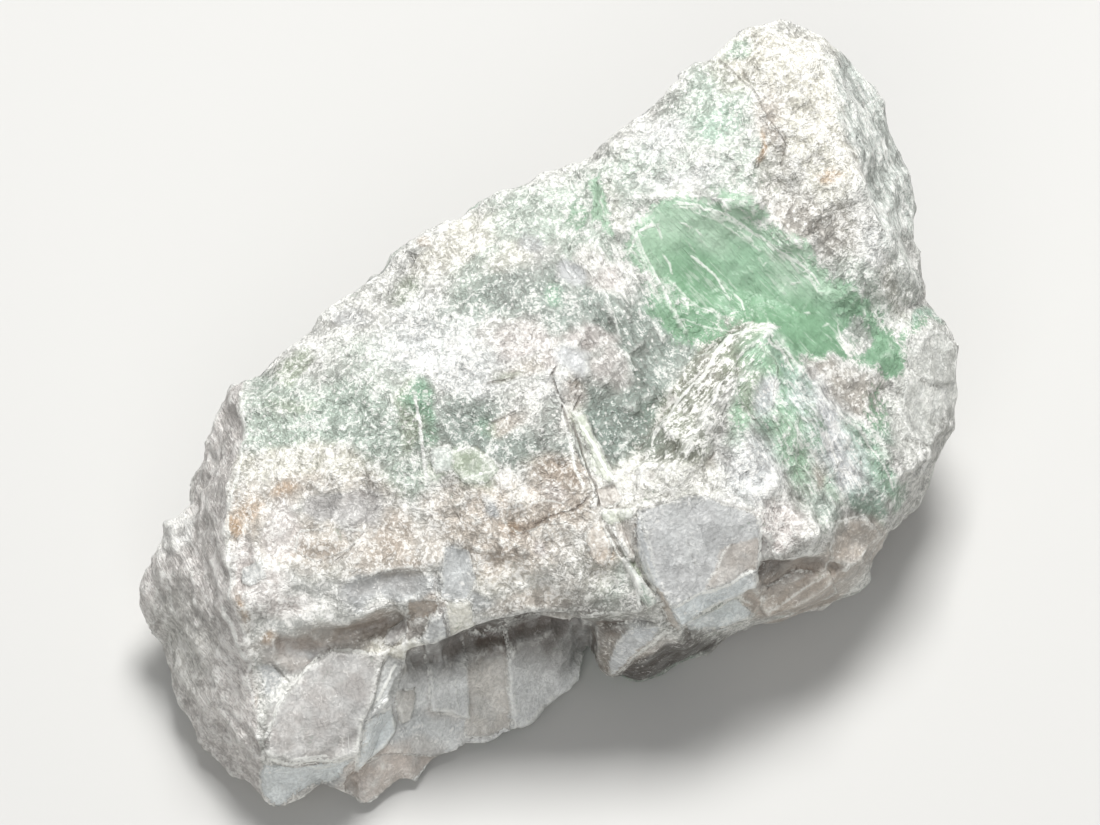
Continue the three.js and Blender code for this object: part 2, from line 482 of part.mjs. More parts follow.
// How far a hidden place is free of the outline: 0 at the outline, 1 well behind it.
function freedomOf({ places, isHidden }, outlineCount) {
  const rim = places.slice(0, outlineCount);
  return places.map((place, i) => {
    if (!isHidden[i]) return 1;
    return THREE.MathUtils.smoothstep(Math.min(...rim.map((p) => p.distanceTo(place))), 0, RIM_QUIET);
  });
}

// Cuts the hidden side back to the flat scars of the struck flakes.
function strikeFlakes({ places, isHidden }, freedom) {
  SCARS.forEach(({ facing, depth }) => {
    const normal = new THREE.Vector3(...facing).normalize();
    const level = Math.max(...places.filter((_, i) => isHidden[i]).map((place) => normal.dot(place))) - depth;
    places.forEach((place, i) => {
      const over = normal.dot(place) - level;
      if (isHidden[i] && over > 0) place.addScaledVector(normal, -over * freedom[i]);
    });
  });
}

// What lay under the table's level was worn flat.
function wearFlats({ places }) {
  places.forEach((place) => {
    place.z = Math.max(place.z, 0);
  });
}

// The origin goes under the middle of the block, on the table.
function setOverOrigin({ places }) {
  const middle = new THREE.Box3().setFromPoints(places).getCenter(new THREE.Vector3());
  places.forEach((place) => place.sub(new THREE.Vector3(middle.x, middle.y, 0)));
}

function geometryOf({ places, triangles }) {
  const geometry = new THREE.BufferGeometry().setFromPoints(places);
  geometry.setIndex(triangles.flat());
  geometry.computeVertexNormals();
  return geometry;
}

const outline = evenOutline(OUTLINE.map(onSheet));
const seenSide = netOver(outline, Object.values(SEEN_LINES).map((line) => line.map(onSheet)), SEEN_SPOTS.map(onSheet));
const hiddenSide = netOver(outline, [], hiddenSpots(outline, seenSide.points.map(inRock)));
const surface = refine(joinSides(outline, seenSide, hiddenSide));
const creased = smoothBetweenCreases(surface);
const freedom = freedomOf(surface, outline.length);
strikeFlakes(surface, freedom);
roughen(surface, creased, freedom);
wearFlats(surface);
setOverOrigin(surface);

const rock = new THREE.Mesh(
  geometryOf(surface),
  new THREE.MeshStandardMaterial({ color: "#b9c1b4", roughness: 0.75, metalness: 0, flatShading: true }),
);
rock.name = "variscite_rock";

const part = new THREE.Group();
part.add(rock);

export default part;
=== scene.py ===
"""Dresses a palm-sized block of rough variscite: sugary quartz, waxy green and glassy flake scars."""

import logging
import math
from dataclasses import dataclass, field
from enum import Enum
from itertools import product
from typing import Any, Iterable

import bmesh
import bpy
import numpy as np
from mathutils import Matrix, Vector

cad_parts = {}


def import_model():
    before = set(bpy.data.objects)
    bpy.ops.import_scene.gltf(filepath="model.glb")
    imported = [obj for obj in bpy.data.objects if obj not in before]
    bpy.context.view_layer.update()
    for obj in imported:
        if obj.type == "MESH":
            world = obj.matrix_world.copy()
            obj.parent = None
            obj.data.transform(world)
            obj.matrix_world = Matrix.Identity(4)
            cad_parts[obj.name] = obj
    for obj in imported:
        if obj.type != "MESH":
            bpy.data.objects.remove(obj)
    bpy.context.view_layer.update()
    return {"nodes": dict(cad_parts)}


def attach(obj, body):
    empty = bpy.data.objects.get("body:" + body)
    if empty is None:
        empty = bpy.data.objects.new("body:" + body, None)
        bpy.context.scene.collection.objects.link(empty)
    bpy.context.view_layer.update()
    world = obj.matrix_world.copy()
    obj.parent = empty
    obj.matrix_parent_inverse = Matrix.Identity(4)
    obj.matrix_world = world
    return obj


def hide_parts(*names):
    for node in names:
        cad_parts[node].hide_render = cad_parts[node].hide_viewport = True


log = logging.getLogger("variscite")

MM = 0.001
CAD_NODE = "variscite_rock"

Run = tuple[tuple[float, float], ...]
Socket = bpy.types.NodeSocket


def linear(hex_colour: str) -> tuple[float, float, float, float]:
    """Turns an sRGB hex colour to the linear values that the shader reads.

    Args:
        hex_colour: six hex digits after a hash sign.

    Returns:
        Linear red, green, blue and a full alpha.
    """
    parts = [int(hex_colour[i : i + 2], 16) / 255 for i in (1, 3, 5)]
    red, green, blue = (p / 12.92 if p <= 0.04045 else ((p + 0.055) / 1.055) ** 2.4 for p in parts)
    return red, green, blue, 1.0


def laid_over(under: np.ndarray, hex_colour: str, share: np.ndarray) -> np.ndarray:
    """Lays one hex colour over each point's linear colour by a share."""
    return under + (np.array(linear(hex_colour)[:3]) - under) * share[:, None]


def smooth_step(low: float, high: float, values: np.ndarray) -> np.ndarray:
    """Rises smoothly from 0 at low to 1 at high, or falls where low is the greater.

    Args:
        low: where the result is 0.
        high: where the result is 1.
        values: what is measured against them.

    Returns:
        Shares from 0 to 1.
    """
    share = np.clip((values - low) / (high - low), 0, 1)
    return share * share * (3 - 2 * share)


@dataclass(frozen=True)
class FaceOnSheet:
    """The flat sheet on which the seen side is laid out: across and down in mm, out towards the eye."""

    turn: float = math.radians(-46)
    tilt: float = math.radians(58)
    middle: tuple[float, float] = (55.0, 41.25)
    eye_distance: float = 600.0
    width: float = 110.0
    target: tuple[float, float, float] = (0.4036, 3.8086, 20.0)

    def axes(self) -> tuple[Vector, Vector, Vector]:
        """Returns the sheet's across, up and out directions in the rock's frame."""
        across = Vector((math.cos(self.turn), math.sin(self.turn), 0))
        flat = math.cos(self.tilt)
        out = Vector((math.sin(self.turn) * flat, -math.cos(self.turn) * flat, math.sin(self.tilt)))
        return across, out.cross(across), out

    def place(self, points: np.ndarray) -> np.ndarray:
        """Finds where points of the rock lie on the sheet.

        Args:
            points: one row for each point, in mm.

        Returns:
            Rows of across and down, in mm.
        """
        across, up, out = (np.array(axis) for axis in self.axes())
        offset = points - np.array(self.target)
        grow = self.eye_distance / (self.eye_distance - offset @ out)
        right, above = (offset @ across) * grow, (offset @ up) * grow
        return np.column_stack((self.middle[0] + right, self.middle[1] - above))

    def direction(self, run: tuple[float, float, float]) -> np.ndarray:
        """Turns a direction on the sheet, given as across, down and out, into the rock's frame."""
        across, up, out = self.axes()
        return np.array((across * run[0] - up * run[1] + out * run[2]).normalized())


# No pattern's grid lies along the rock's own axes.
TURNED_LATTICE = np.array(Matrix.Rotation(0.7, 3, Vector((0.5, 0.7, 0.3)).normalized()))


def scatter(cells: np.ndarray, seed: int, count: int) -> np.ndarray:
    """Gives each whole-numbered cell of space its own fixed numbers.

    Args:
        cells: one row of three whole numbers for each cell.
        seed: which set of numbers is wanted.
        count: how many numbers each cell gets.

    Returns:
        One row for each cell, of numbers from 0 to 1.
    """
    cells = cells.astype(np.int64)
    mixed = (cells[:, 0] * 73856093) ^ (cells[:, 1] * 19349663) ^ (cells[:, 2] * 83492791) ^ (seed * 971287)
    mixed &= 0xFFFFFFFF
    numbers = np.empty((len(cells), count))
    for column in range(count):
        mixed = ((mixed ^ (mixed >> 15)) * 0x2C1B3C6D) & 0xFFFFFFFF
        mixed = ((mixed ^ (mixed >> 12)) * 0x297A2D39) & 0xFFFFFFFF
        mixed ^= mixed >> 15
        numbers[:, column] = mixed / 0xFFFFFFFF
    return numbers


def waves(points: np.ndarray, size: float, seed: int, octaves: int = 1) -> np.ndarray:
    """Rolls smoothly between -1 and 1 through space.

    Args:
        points: one row for each place, in mm.
        size: how far apart the swells are, in mm.
        seed: which swells are wanted.
        octaves: how many times finer swells are added on top.

    Returns:
        The height at each place.
    """
    total = np.zeros(len(points))
    for octave in range(octaves):
        place = points @ TURNED_LATTICE * (2.0**octave / size) + 7.7 * octave
        cell = np.floor(place)
        part = place - cell
        fade = part * part * part * (part * (part * 6 - 15) + 10)
        for corner in product((0, 1), repeat=3):
            share = np.prod(np.where(corner, fade, 1 - fade), axis=1)
            total += share * (scatter(cell + corner, seed + octave, 1)[:, 0] * 2 - 1) * 0.5**octave
    return total


def chips(points: np.ndarray, size: float, tilt: float, seed: int) -> np.ndarray:
    """Covers space with shallow tilted bowls that meet in sharp ridges, as quartz breaks.

    Args:
        points: one row for each place, in mm.
        size: how wide a bowl is, in mm.
        tilt: how far a bowl leans, against its width.
        seed: which bowls are wanted.

    Returns:
        The height in mm.
    """
    hollow = 0.27
    sway = np.column_stack([waves(points, size * 1.7, seed + 40 + axis) for axis in range(3)])
    place = points @ TURNED_LATTICE / size + 0.3 * sway
    cell = np.floor(place)
    lowest = np.full(len(points), np.inf)
    for offset in product((-1, 0, 1), repeat=3):
        bowl = cell + offset
        random = scatter(bowl, seed, 7)
        away = place - bowl - random[:, :3]
        height = hollow * np.sum(away * away, axis=1)
        height += 2 * tilt * np.sum((random[:, 3:6] - 0.5) * away, axis=1) + 0.3 * tilt * random[:, 6]
        lowest = np.minimum(lowest, height)
    return (lowest - np.mean(lowest)) * size


def pressed(points: np.ndarray, way: np.ndarray, keep: float = 0.14) -> np.ndarray:
    """Squeezes space along one way, so that a pattern laid on it is drawn out that way.

    Args:
        points: one row for each place.
        way: the unit direction of the streaks.
        keep: what is left of a step along them.

    Returns:
        The squeezed places.
    """
    return points - (points @ way)[:, None] * way[None, :] * (1 - keep)


def line(*numbers: float) -> Run:
    """Pairs up numbers as the corners of a line on the sheet, across and down."""
    return tuple(zip(numbers[::2], numbers[1::2]))


def distance_from_run(spot: np.ndarray, run: Run) -> tuple[np.ndarray, np.ndarray, np.ndarray]:
    """Measures each point against a line on the sheet.

    Args:
        spot: the points, across and down.
        run: the line's corners, across and down.

    Returns:
        The distance, the signed distance, which is positive right of the run, and 1 beside the line
        but 0 beyond its ends.
    """
    end_fade = 0.8
    best = np.full(len(spot), np.inf)
    side = np.zeros(len(spot))
    along_all = np.zeros(len(spot))
    walked = 0.0
    for start, end in zip(run, run[1:]):
        first, last = np.array(start), np.array(end)
        length = float(np.linalg.norm(last - first))
        way = (last - first) / length
        along = np.clip((spot - first) @ way, 0, length)
        offset = spot - (first + along[:, None] * way)
        distance = np.linalg.norm(offset, axis=1)
        nearer = distance < best
        best = np.where(nearer, distance, best)
        side = np.where(nearer, way[0] * offset[:, 1] - way[1] * offset[:, 0], side)
        along_all = np.where(nearer, walked + along, along_all)
        walked += length
    return best, side, smooth_step(0.0, end_fade, along_all) * smooth_step(0.0, end_fade, walked - along_all)


def depth_in(outline: Run, spot: np.ndarray) -> np.ndarray:
    """Measures how deep inside an outline each point lies.

    Args:
        outline: the corners on the sheet.
        spot: the points, across and down.

    Returns:
        The distance from the border in mm, less than 0 outside.
    """
    ring = outline + outline[:1]
    inside = np.zeros(len(spot), dtype=bool)
    for (x0, y0), (x1, y1) in zip(ring, ring[1:]):
        if y0 != y1:
            at = x0 + (spot[:, 1] - y0) * (x1 - x0) / (y1 - y0)
            inside ^= ((y0 > spot[:, 1]) != (y1 > spot[:, 1])) & (spot[:, 0] < at)
    distance, _, _ = distance_from_run(spot, ring)
    return np.where(inside, distance, -distance)


class Tint(Enum):
    """The bare stone's tone between its white grains, and how much of it those grains cover; a few are
    painted shade.
    """

    QUARTZ = ("#c6c6c0", 0.48)
    WHITE = ("#d6d8d5", 0.6)
    CREAM = ("#d2cfc2", 0.56)
    PINK_WHITE = ("#d2cac5", 0.46)
    PALE_GREEN = ("#b9c8ba", 0.42)
    LEAF_GREEN = ("#a1ab96", 0.38)
    GREY_GREEN = ("#97a39a", 0.32)
    DARK_GREEN = ("#828f86", 0.22)
    DEEP_GREEN = ("#86a98f", 0.3)
    SEA_GREEN = ("#9bbaa6", 0.34)
    MINT = ("#c2d3c4", 0.12)
    FLANK = ("#969a8b", 0.52)
    BRIGHT = ("#e2e1d8", 0.64)
    RIB_GREEN = ("#a5cbaa", 0.36)
    SLIVER = ("#cdd2c2", 0.3)
    BLUE_WHITE = ("#dfe5e5", 0.16)
    LILAC_WHITE = ("#d2d5d6", 0.44)
    TAN = ("#cabfb2", 0.37)
    BROWN = ("#ab9d8e", 0.38)
    ORANGE = ("#bb9c7a", 0.36)
    BEIGE = ("#b2ada4", 0.4)
    BLUE_GREY = ("#bbbdbc", 0.18)
    SCOOP_GREY = ("#eaebe9", 0.1)
    CHIP_BEIGE = ("#d3cec6", 0.1)
    LILAC_GREY = ("#c6c7c6", 0.2)
    PLATE_GREY = ("#aeaaa6", 0.1)
    PLATE_PINK = ("#c0b9b1", 0.12)
    FACET_CREAM = ("#d7d8d1", 0.3)
    STRIP_GREY = ("#ccd2cb", 0.46)
    END_MAUVE = ("#dad5d0", 0.37)
    END_GREEN = ("#c6c8bf", 0.32)
    NUB_PALE = ("#ecebe6", 0.46)
    SCAR_MAUVE = ("#beb4ab", 0.05)
    FOOT_BROWN = ("#b8ada1", 0.1)
    # Darker tan under the ledges: partly the stone's brown, partly painted shade.
    UNDERCUT_TAN_AND_SHADE = ("#a3968a", 0.04)
    BLOCK_BROWN = ("#958b80", 0.34)
    # Painted shade for the rough block's lower, down-facing face.
    BLOCK_PAINTED_SHADE = ("#4f4943", 0.1)
    # Painted shade: the deep shadow under the overhangs, not a tone of the stone.
    PAINTED_SHADE = ("#4f453d", 0.02)

    @property
    def hex_colour(self) -> str:
        """Returns the tone's sRGB colour."""
        return self.value[0]

    @property
    def grains(self) -> float:
        """Returns how much of the tone the white grains cover."""
        return self.value[1]


@dataclass(frozen=True)
class Patch:
    """An oval of the seen side, in sheet millimetres, turned clockwise in degrees."""

    across: float
    down: float
    long: float
    short: float
    turn: float = 0.0
    strength: float = 1.0
    softness: float = 0.3

    def reach(self, spot: np.ndarray) -> np.ndarray:
        """Returns how far out each point lies: 0 in the middle and 1 on the oval."""
        angle = math.radians(self.turn)
        dx, dy = spot[:, 0] - self.across, spot[:, 1] - self.down
        along = (dx * math.cos(angle) + dy * math.sin(angle)) / self.long
        athwart = (dy * math.cos(angle) - dx * math.sin(angle)) / self.short
        return np.sqrt(along * along + athwart * athwart)

    def share(self, spot: np.ndarray) -> np.ndarray:
        """Returns how far each point is inside the oval, from 0 to its strength."""
        return self.strength * smooth_step(1 + self.softness, 1 - self.softness, self.reach(spot))


def ovals(*rows: tuple[float, ...]) -> tuple[Patch, ...]:
    """Makes patches from rows of across, down, long, short, turn, strength and softness."""
    return tuple(Patch(*row) for row in rows)


def any_of(patches: Iterable[Patch], spot: np.ndarray) -> np.ndarray:
    """Returns each point's greatest share in any of the ovals."""
    return np.maximum.reduce([patch.share(spot) for patch in patches])


# Each tone with its ovals. A later one lies over an earlier one.
TONES: tuple[tuple[Tint, tuple[Patch, ...]], ...] = (
    (Tint.PALE_GREEN, ovals(
        (33, 42.4, 10, 4.6, 4, 0.9, 0.4), (28, 40, 4, 3, 0, 0.8, 0.4), (38, 36.6, 5, 3, 0, 0.5, 0.5),
        (47.6, 28, 2.4, 5.4, 10, 0.6, 0.5), (46.4, 32.4, 4, 2.4, 0, 0.6, 0.5),
        (41, 47.6, 2.6, 2.6, 0, 0.8, 0.4), (54, 21, 7, 2.8, -22, 0.7, 0.5),
        (63.6, 17.4, 6, 2.6, -36, 0.7, 0.5), (71.6, 10.4, 4.6, 3.6, -40, 0.9, 0.4),
        (74, 16.6, 4, 3, 0, 0.6, 0.5), (58.4, 24, 3.6, 3, 40, 0.7, 0.5),
        (82.6, 50, 1.6, 3, -14, 0.7, 0.5), (60.6, 57.6, 2.4, 3.4, -20, 0.4, 0.5),
        (87, 29.6, 4, 4, 0, 0.6, 0.5), (72.4, 61.4, 3.6, 1.2, -12, 0.6, 0.5),
    )),
    (Tint.GREY_GREEN, ovals(
        (50.4, 30.4, 5.4, 3.6, -10, 0.75, 0.5), (55.6, 30.2, 2.8, 4, -20, 0.85, 0.5),
        (60.6, 31.4, 2.4, 4.6, -20, 0.9, 0.4), (64, 37.6, 3.6, 7.6, -8, 0.9, 0.4),
        (66.4, 33, 3, 5, -32, 0.95, 0.4), (62, 43.6, 5, 3.2, 20, 0.95, 0.4),
        (47, 43, 3.6, 4.2, 0, 0.95, 0.4), (50.8, 44.8, 4.4, 2.4, 0, 0.85, 0.4),
        (56.8, 43.4, 3.4, 2.6, 40, 0.6, 0.5), (64.6, 42.6, 2.2, 2.6, 0, 0.9, 0.4),
        (60.6, 43, 2, 4, -20, 0.7, 0.5), (36, 42.6, 4, 2.4, 0, 0.4, 0.5),
        (77.8, 44, 1.2, 4, -24, 0.6, 0.5), (83, 50.6, 1, 2, -20, 0.5, 0.4),
        (77, 43, 2, 3.6, -20, 0.5, 0.5), (81.4, 29, 5, 1.8, 44, 0.6, 0.5),
        (75.6, 22.4, 6, 1.6, 32, 0.5, 0.5), (62.8, 22.4, 1.2, 4, -30, 0.5, 0.5),
    )),
    (Tint.WHITE, ovals(
        (43.6, 34.6, 5.4, 3.4, 0, 0.85, 0.5), (47.4, 36.8, 5, 2.4, 0, 0.9, 0.4),
        (41.6, 31, 3, 2.6, 0, 0.7, 0.5), (66, 13.6, 3, 1.8, -34, 0.8, 0.5),
        (75, 48.8, 2.4, 2, 0, 0.8, 0.5), (83.6, 43.4, 2.4, 3, 0, 0.8, 0.5),
        (68.6, 17, 4.4, 1.2, -14, 0.6, 0.5), (87.6, 24.4, 2, 2, 0, 0.7, 0.5),
        (55.8, 38.6, 3, 2, 0, 0.5, 0.5), (38.8, 67.4, 1.1, 3.4, 24, 0.9),
    )),
    (Tint.CREAM, ovals(
        (30, 46.4, 8, 1.9, 4, 0.95, 0.4), (45, 24.6, 4.6, 1.6, -30, 0.8, 0.4),
        (50.6, 25.8, 2, 1.8, 0, 0.6, 0.5), (77, 5.6, 6, 3, -10, 0.95, 0.4),
        (81.4, 10.6, 3.2, 6.4, -6, 1, 0.4), (83.2, 16.6, 2.6, 4, -10, 0.8, 0.4),
        (74, 7.4, 3, 1.6, 0, 0.7, 0.5), (65.6, 47.4, 5.4, 2, -8), (74.8, 33.4, 2.4, 1.2, -30, 0.95),
        (50, 57.4, 3.4, 1.8, 0, 0.7, 0.5), (63.6, 49.4, 1.6, 1.6, 0, 0.8, 0.5),
        (33, 57, 3, 0.9, -8, 0.5, 0.5), (62, 20.6, 1, 2.4, -20, 0.4, 0.5),
        (38.4, 65, 1.8, 1, 0, 0.9, 0.4),
    )),
    (Tint.FLANK, ovals((71.2, 37, 8.6, 2.2, 126, 1, 0.4), (67.4, 44, 5, 2.8, 128, 0.9, 0.4))),
    (Tint.BRIGHT, ovals((65.6, 48.2, 5, 1.9, -6, 1, 0.4), (70.4, 48.4, 2.6, 1.6, 0, 0.8, 0.4))),
    (Tint.RIB_GREEN, ovals(
        (76.6, 35.8, 2.4, 2.6, 0, 0.95, 0.4), (79.2, 39.6, 1.4, 6, -22, 1, 0.5),
        (74.4, 40.6, 1.3, 3.6, 14, 0.8, 0.5), (78.6, 44.4, 1.6, 4.4, -24, 0.8, 0.5),
        (82.6, 46.4, 0.8, 3.6, -32, 0.7, 0.5), (87.4, 46.4, 1.6, 4.4, -34, 0.9, 0.4),
    )),
    (Tint.TAN, ovals(
        (24.2, 51.4, 2.4, 3.6, 0, 0.8, 0.4), (29.4, 49.2, 4, 1.6, 0, 0.7, 0.4),
        (31, 54.2, 5, 2.6, 0, 0.7, 0.4), (38, 55.4, 4, 4.2, 0, 0.8, 0.4),
        (36.6, 49.4, 4, 1.8, 0, 0.5, 0.5), (50, 53, 6.6, 4.4, 8, 0.9, 0.4),
        (46.6, 51, 4, 2.6, 0, 0.7, 0.4), (55.6, 50.6, 4.6, 3.4, 0, 0.9, 0.4),
        (56, 47, 3.6, 1.8, 0, 0.8, 0.4), (43.4, 54.4, 3, 2.2, 0, 0.6, 0.5),
        (53, 60, 4, 1.4, -8, 0.7, 0.5), (60, 55.4, 2, 3, 0, 0.6, 0.5), (52.2, 37, 3, 1, -10, 0.5, 0.5),
        (50.6, 42, 1.8, 0.9, -20, 0.7, 0.5), (77.6, 12, 1.6, 3.4, -10, 0.6, 0.5),
        (57.6, 40, 1.2, 3, 10, 0.5, 0.5),
    )),
    (Tint.BROWN, ovals(
        (56.4, 47.6, 2.8, 1.6, 10, 0.85, 0.4), (54.8, 52, 4.4, 0.9, -12, 0.8, 0.4),
        (31.4, 54.8, 3, 0.8, -4, 0.7, 0.4), (38.8, 54.2, 1.5, 2.4, 10, 0.7, 0.4),
        (40, 57.2, 2.8, 0.9, -14, 0.7, 0.4), (43.2, 60.4, 2, 0.6, -8, 0.8, 0.4),
        (24, 60, 0.7, 2.6, -12, 0.8, 0.4), (50.6, 55, 1.4, 0.9, 0, 0.6, 0.4),
        (25.2, 73.4, 0.5, 4, -8, 0.8, 0.4), (82, 46.6, 0.7, 1.4, 0, 0.6, 0.4),
        (57.8, 38.4, 0.6, 1.4, 20, 0.6, 0.4), (62.6, 52.8, 0.5, 2.6, -24, 0.5, 0.4),
    )),
    (Tint.ORANGE, ovals(
        (23.5, 52.2, 0.9, 1.3, 0, 0.8, 0.4), (28.4, 49.1, 1.7, 0.6, 0, 0.6, 0.5),
        (50.9, 52, 1.2, 0.8, 0, 0.7, 0.5), (24.9, 50.4, 1.2, 0.8, 0, 0.5, 0.5),
        (24.5, 60.2, 0.4, 1.4, -10, 0.8, 0.4), (27.4, 63.8, 0.9, 0.7, 0, 0.8, 0.4),
        (76.3, 14.8, 0.4, 1.6, 0, 0.9, 0.4), (83.4, 17.2, 0.9, 0.6, 0, 0.6, 0.5),
        (60.1, 55, 0.9, 1.1, 0, 0.6, 0.5), (42, 23.8, 0.7, 0.5, 0, 0.4, 0.5),
    )),
    (Tint.PINK_WHITE, ovals(
        (28.2, 52.6, 1.8, 2.8, 0, 0.8, 0.4), (24.6, 56.6, 1.6, 3.2, -8, 0.9, 0.4),
        (26.4, 58.6, 2.2, 2.2, 0, 0.8, 0.4), (28, 60.6, 3, 1.2, 0, 0.8, 0.4),
        (52, 34, 3, 1.7, 0, 0.8, 0.4), (59, 33.6, 3, 1, 0, 0.8, 0.4), (60.8, 37, 1.2, 3.4, 0, 0.7, 0.4),
        (55.4, 35.6, 1.2, 2.2, 0, 0.6, 0.4), (61, 27.6, 2, 1.6, 0, 0.7, 0.4),
        (59.2, 26, 1.4, 2, 0, 0.6, 0.4), (77.8, 52.6, 3, 2.4, 0, 0.9, 0.4),
        (53.8, 55, 0.8, 0.7, 0, 0.8, 0.4), (57, 41, 1.2, 2.4, 20, 0.5, 0.5),
        (55.4, 49.6, 1.4, 1, 30, 0.6, 0.5), (49.4, 33.2, 2, 1.4, 0, 0.5, 0.5),
    )),
    (Tint.BEIGE, ovals(
        (84, 38.8, 4.6, 2.4, 16, 0.95), (80.4, 21.6, 3.2, 2.8, 50, 0.8, 0.4),
        (84, 23.4, 2.4, 3, 0, 0.7, 0.4), (77.8, 17.6, 1.8, 3, 0, 0.6, 0.5),
        (57.6, 57.6, 2.6, 2.6, 0, 0.6, 0.4), (70.4, 37.6, 1, 1.4, 0, 0.5, 0.5),
        (89.4, 28.6, 1.6, 3.4, -20, 0.6, 0.4),
    )),
    (Tint.LEAF_GREEN, ovals(
        (47.2, 47.4, 2.6, 1.6, 30, 0.95), (44.4, 46.6, 1.6, 1.2, -20, 0.8),
        (29.2, 36.4, 2.2, 1, -36, 0.8, 0.4), (40.4, 28.6, 2, 1.2, -20, 0.7, 0.5),
        (41.1, 41.4, 0.7, 3.2, 0, 0.8, 0.4), (58.2, 44, 0.9, 3, -26, 0.6, 0.4),
        (75, 39.4, 1.2, 2, 14, 0.7, 0.4), (29.4, 40.4, 2.4, 1, 0, 0.6, 0.5),
        (50.6, 37.4, 1.4, 0.7, 0, 0.5, 0.5), (63.6, 57.4, 0.5, 3, -28, 0.9),
        (73.4, 36, 1.2, 1.8, 30, 0.6, 0.4),
    )),
    (Tint.DEEP_GREEN, ovals(
        (42.3, 40.2, 1.3, 2, 0, 0.95, 0.4), (42.6, 42.6, 0.9, 1.4, 0, 0.7, 0.4),
        (55.9, 29.6, 0.9, 1.5, 0, 0.7, 0.4), (48.6, 42.4, 1.2, 1.2, 0, 0.5, 0.5),
        (65, 41.6, 1, 1.2, 0, 0.5, 0.5),
    )),
    (Tint.SEA_GREEN, ovals(
        (87.8, 46.6, 1.6, 4, -30, 0.7, 0.4), (89.2, 42.8, 1.7, 1.4, 0, 0.7, 0.4),
        (78.8, 37.6, 0.8, 4.4, -14, 0.9), (78.2, 34.4, 1.6, 1.2, 30, 0.7, 0.4),
        (76.6, 41.6, 0.8, 1.8, 0, 0.5, 0.4), (94.2, 31.4, 1, 0.7, 40, 0.7, 0.4),
        (73.4, 5.4, 1.6, 0.8, -40, 0.6, 0.4), (71.8, 12.4, 2.4, 1.6, 0, 0.5, 0.5),
        (92.6, 31.6, 1.6, 0.8, -24, 0.9, 0.4), (86.6, 50, 1, 2.6, -30, 0.8, 0.4),
    )),
    (Tint.LILAC_WHITE, ovals(
        (83, 43.4, 2.4, 6, -34, 0.8, 0.5), (76.8, 39.6, 1.6, 1.9, 0, 0.8, 0.4),
        (75, 46.4, 3, 3, 0, 0.5, 0.5),
    )),
    (Tint.STRIP_GREY, ovals((87.4, 13.6, 2.4, 11.6, -17, 1, 0.2), (90, 26, 1.4, 5, -12, 0.6))),
    (Tint.FACET_CREAM, ovals((92.6, 38.6, 3.2, 6.4, 10, 1, 0.2))),
    (Tint.BLUE_GREY, ovals(
        (33, 51, 1.7, 0.9, -20, 0.9), (35.4, 51.6, 1.9, 1.3), (36.4, 59, 2.8, 1.6, -6),
        (41.6, 59.2, 4, 1.1, -8, 0.95), (45.6, 56.8, 1.5, 2.4, 6, 1, 0.25),
        (47.2, 59.8, 2.4, 1.2, -10, 0.8), (57.5, 27.2, 1.5, 1, 40), (52.4, 24.2, 1.4, 1.4, 0, 0.8),
        (42.4, 34.8, 1.6, 0.7, 0, 0.5, 0.5), (26.8, 68.4, 1, 1.7, 0, 0.9),
        (75.2, 50.4, 1.4, 0.7, 0, 0.5, 0.4),
    )),
    (Tint.LILAC_GREY, ovals(
        (57.6, 35.9, 1.9, 1.5, 10), (34.8, 31.4, 1.7, 1.2, 0, 0.7, 0.4),
        (35.8, 51.4, 2.6, 1.7, 0, 0.7, 0.4), (48.8, 50.6, 0.6, 0.6), (44, 62.2, 1, 1.7, 0, 0.9),
        (58.2, 37, 0.9, 0.9, 0, 0.8, 0.4),
    )),
    (Tint.DARK_GREEN, ovals(
        (62, 43.2, 3.6, 3.2, 20, 0.9, 0.5), (60.4, 40.6, 1.6, 3, -20, 0.8, 0.5),
        (64.6, 41, 2, 3, 0, 0.8, 0.5),
    )),
    (Tint.PLATE_GREY, ovals(
        (35.6, 51.5, 2.4, 1.7, 0, 0.95), (32.8, 51, 1.6, 0.9, -20, 0.8), (38, 58.8, 4, 1.2, -6, 0.5, 0.5),
        (70.2, 54.8, 6, 5, 0, 1, 0.12), (34, 69.2, 4.6, 4, 0, 1, 0.1), (31.6, 73.2, 4.6, 4, 0, 1, 0.1),
        (29.8, 65.4, 2.8, 1.9, -10, 1, 0.2), (29.6, 78.6, 4.4, 2, -20, 0.9),
        (42, 62.4, 2.2, 1.4, -20, 0.6),
    )),
    (Tint.PLATE_PINK, ovals(
        (30.4, 73.6, 2.6, 2.6, 0, 0.7, 0.4), (27.6, 78.8, 1.6, 1.4, 0, 0.7, 0.4),
        (28.6, 66.2, 2, 0.7, 10, 0.7, 0.4), (64, 65.4, 3.2, 2, 0, 0.8), (60.6, 63, 1.6, 1.2, 0, 0.9),
    )),
    (Tint.SCOOP_GREY, ovals(
        (47.6, 69.2, 12.6, 6, -22, 1, 0.12), (40.6, 73.6, 4.4, 3.4, 0, 0.9, 0.2),
        (42.4, 75, 5.4, 2.2, -24, 1, 0.2),
    )),
    (Tint.BLUE_GREY, ovals(
        (40.6, 73.6, 3.4, 2.4, 0, 0.8, 0.4), (48, 70.6, 6, 2, -22, 0.5, 0.5),
        (66.6, 55.6, 0.8, 3, -14, 0.6, 0.4), (71.4, 59.2, 3.6, 0.9, -27, 0.9),
        (31.6, 65.6, 1.8, 1, 0, 0.7, 0.4), (33.8, 78.2, 1.6, 0.9, -20, 0.8, 0.4),
        (64, 62.2, 1.6, 0.8, 0, 0.8), (70, 52.8, 2.4, 1.2, 0, 0.5, 0.5),
    )),
    (Tint.PLATE_PINK, ovals(
        (44.4, 71.6, 1.8, 0.8, -10, 0.5, 0.4), (42, 75.2, 2.4, 1.2, -10, 0.5, 0.4),
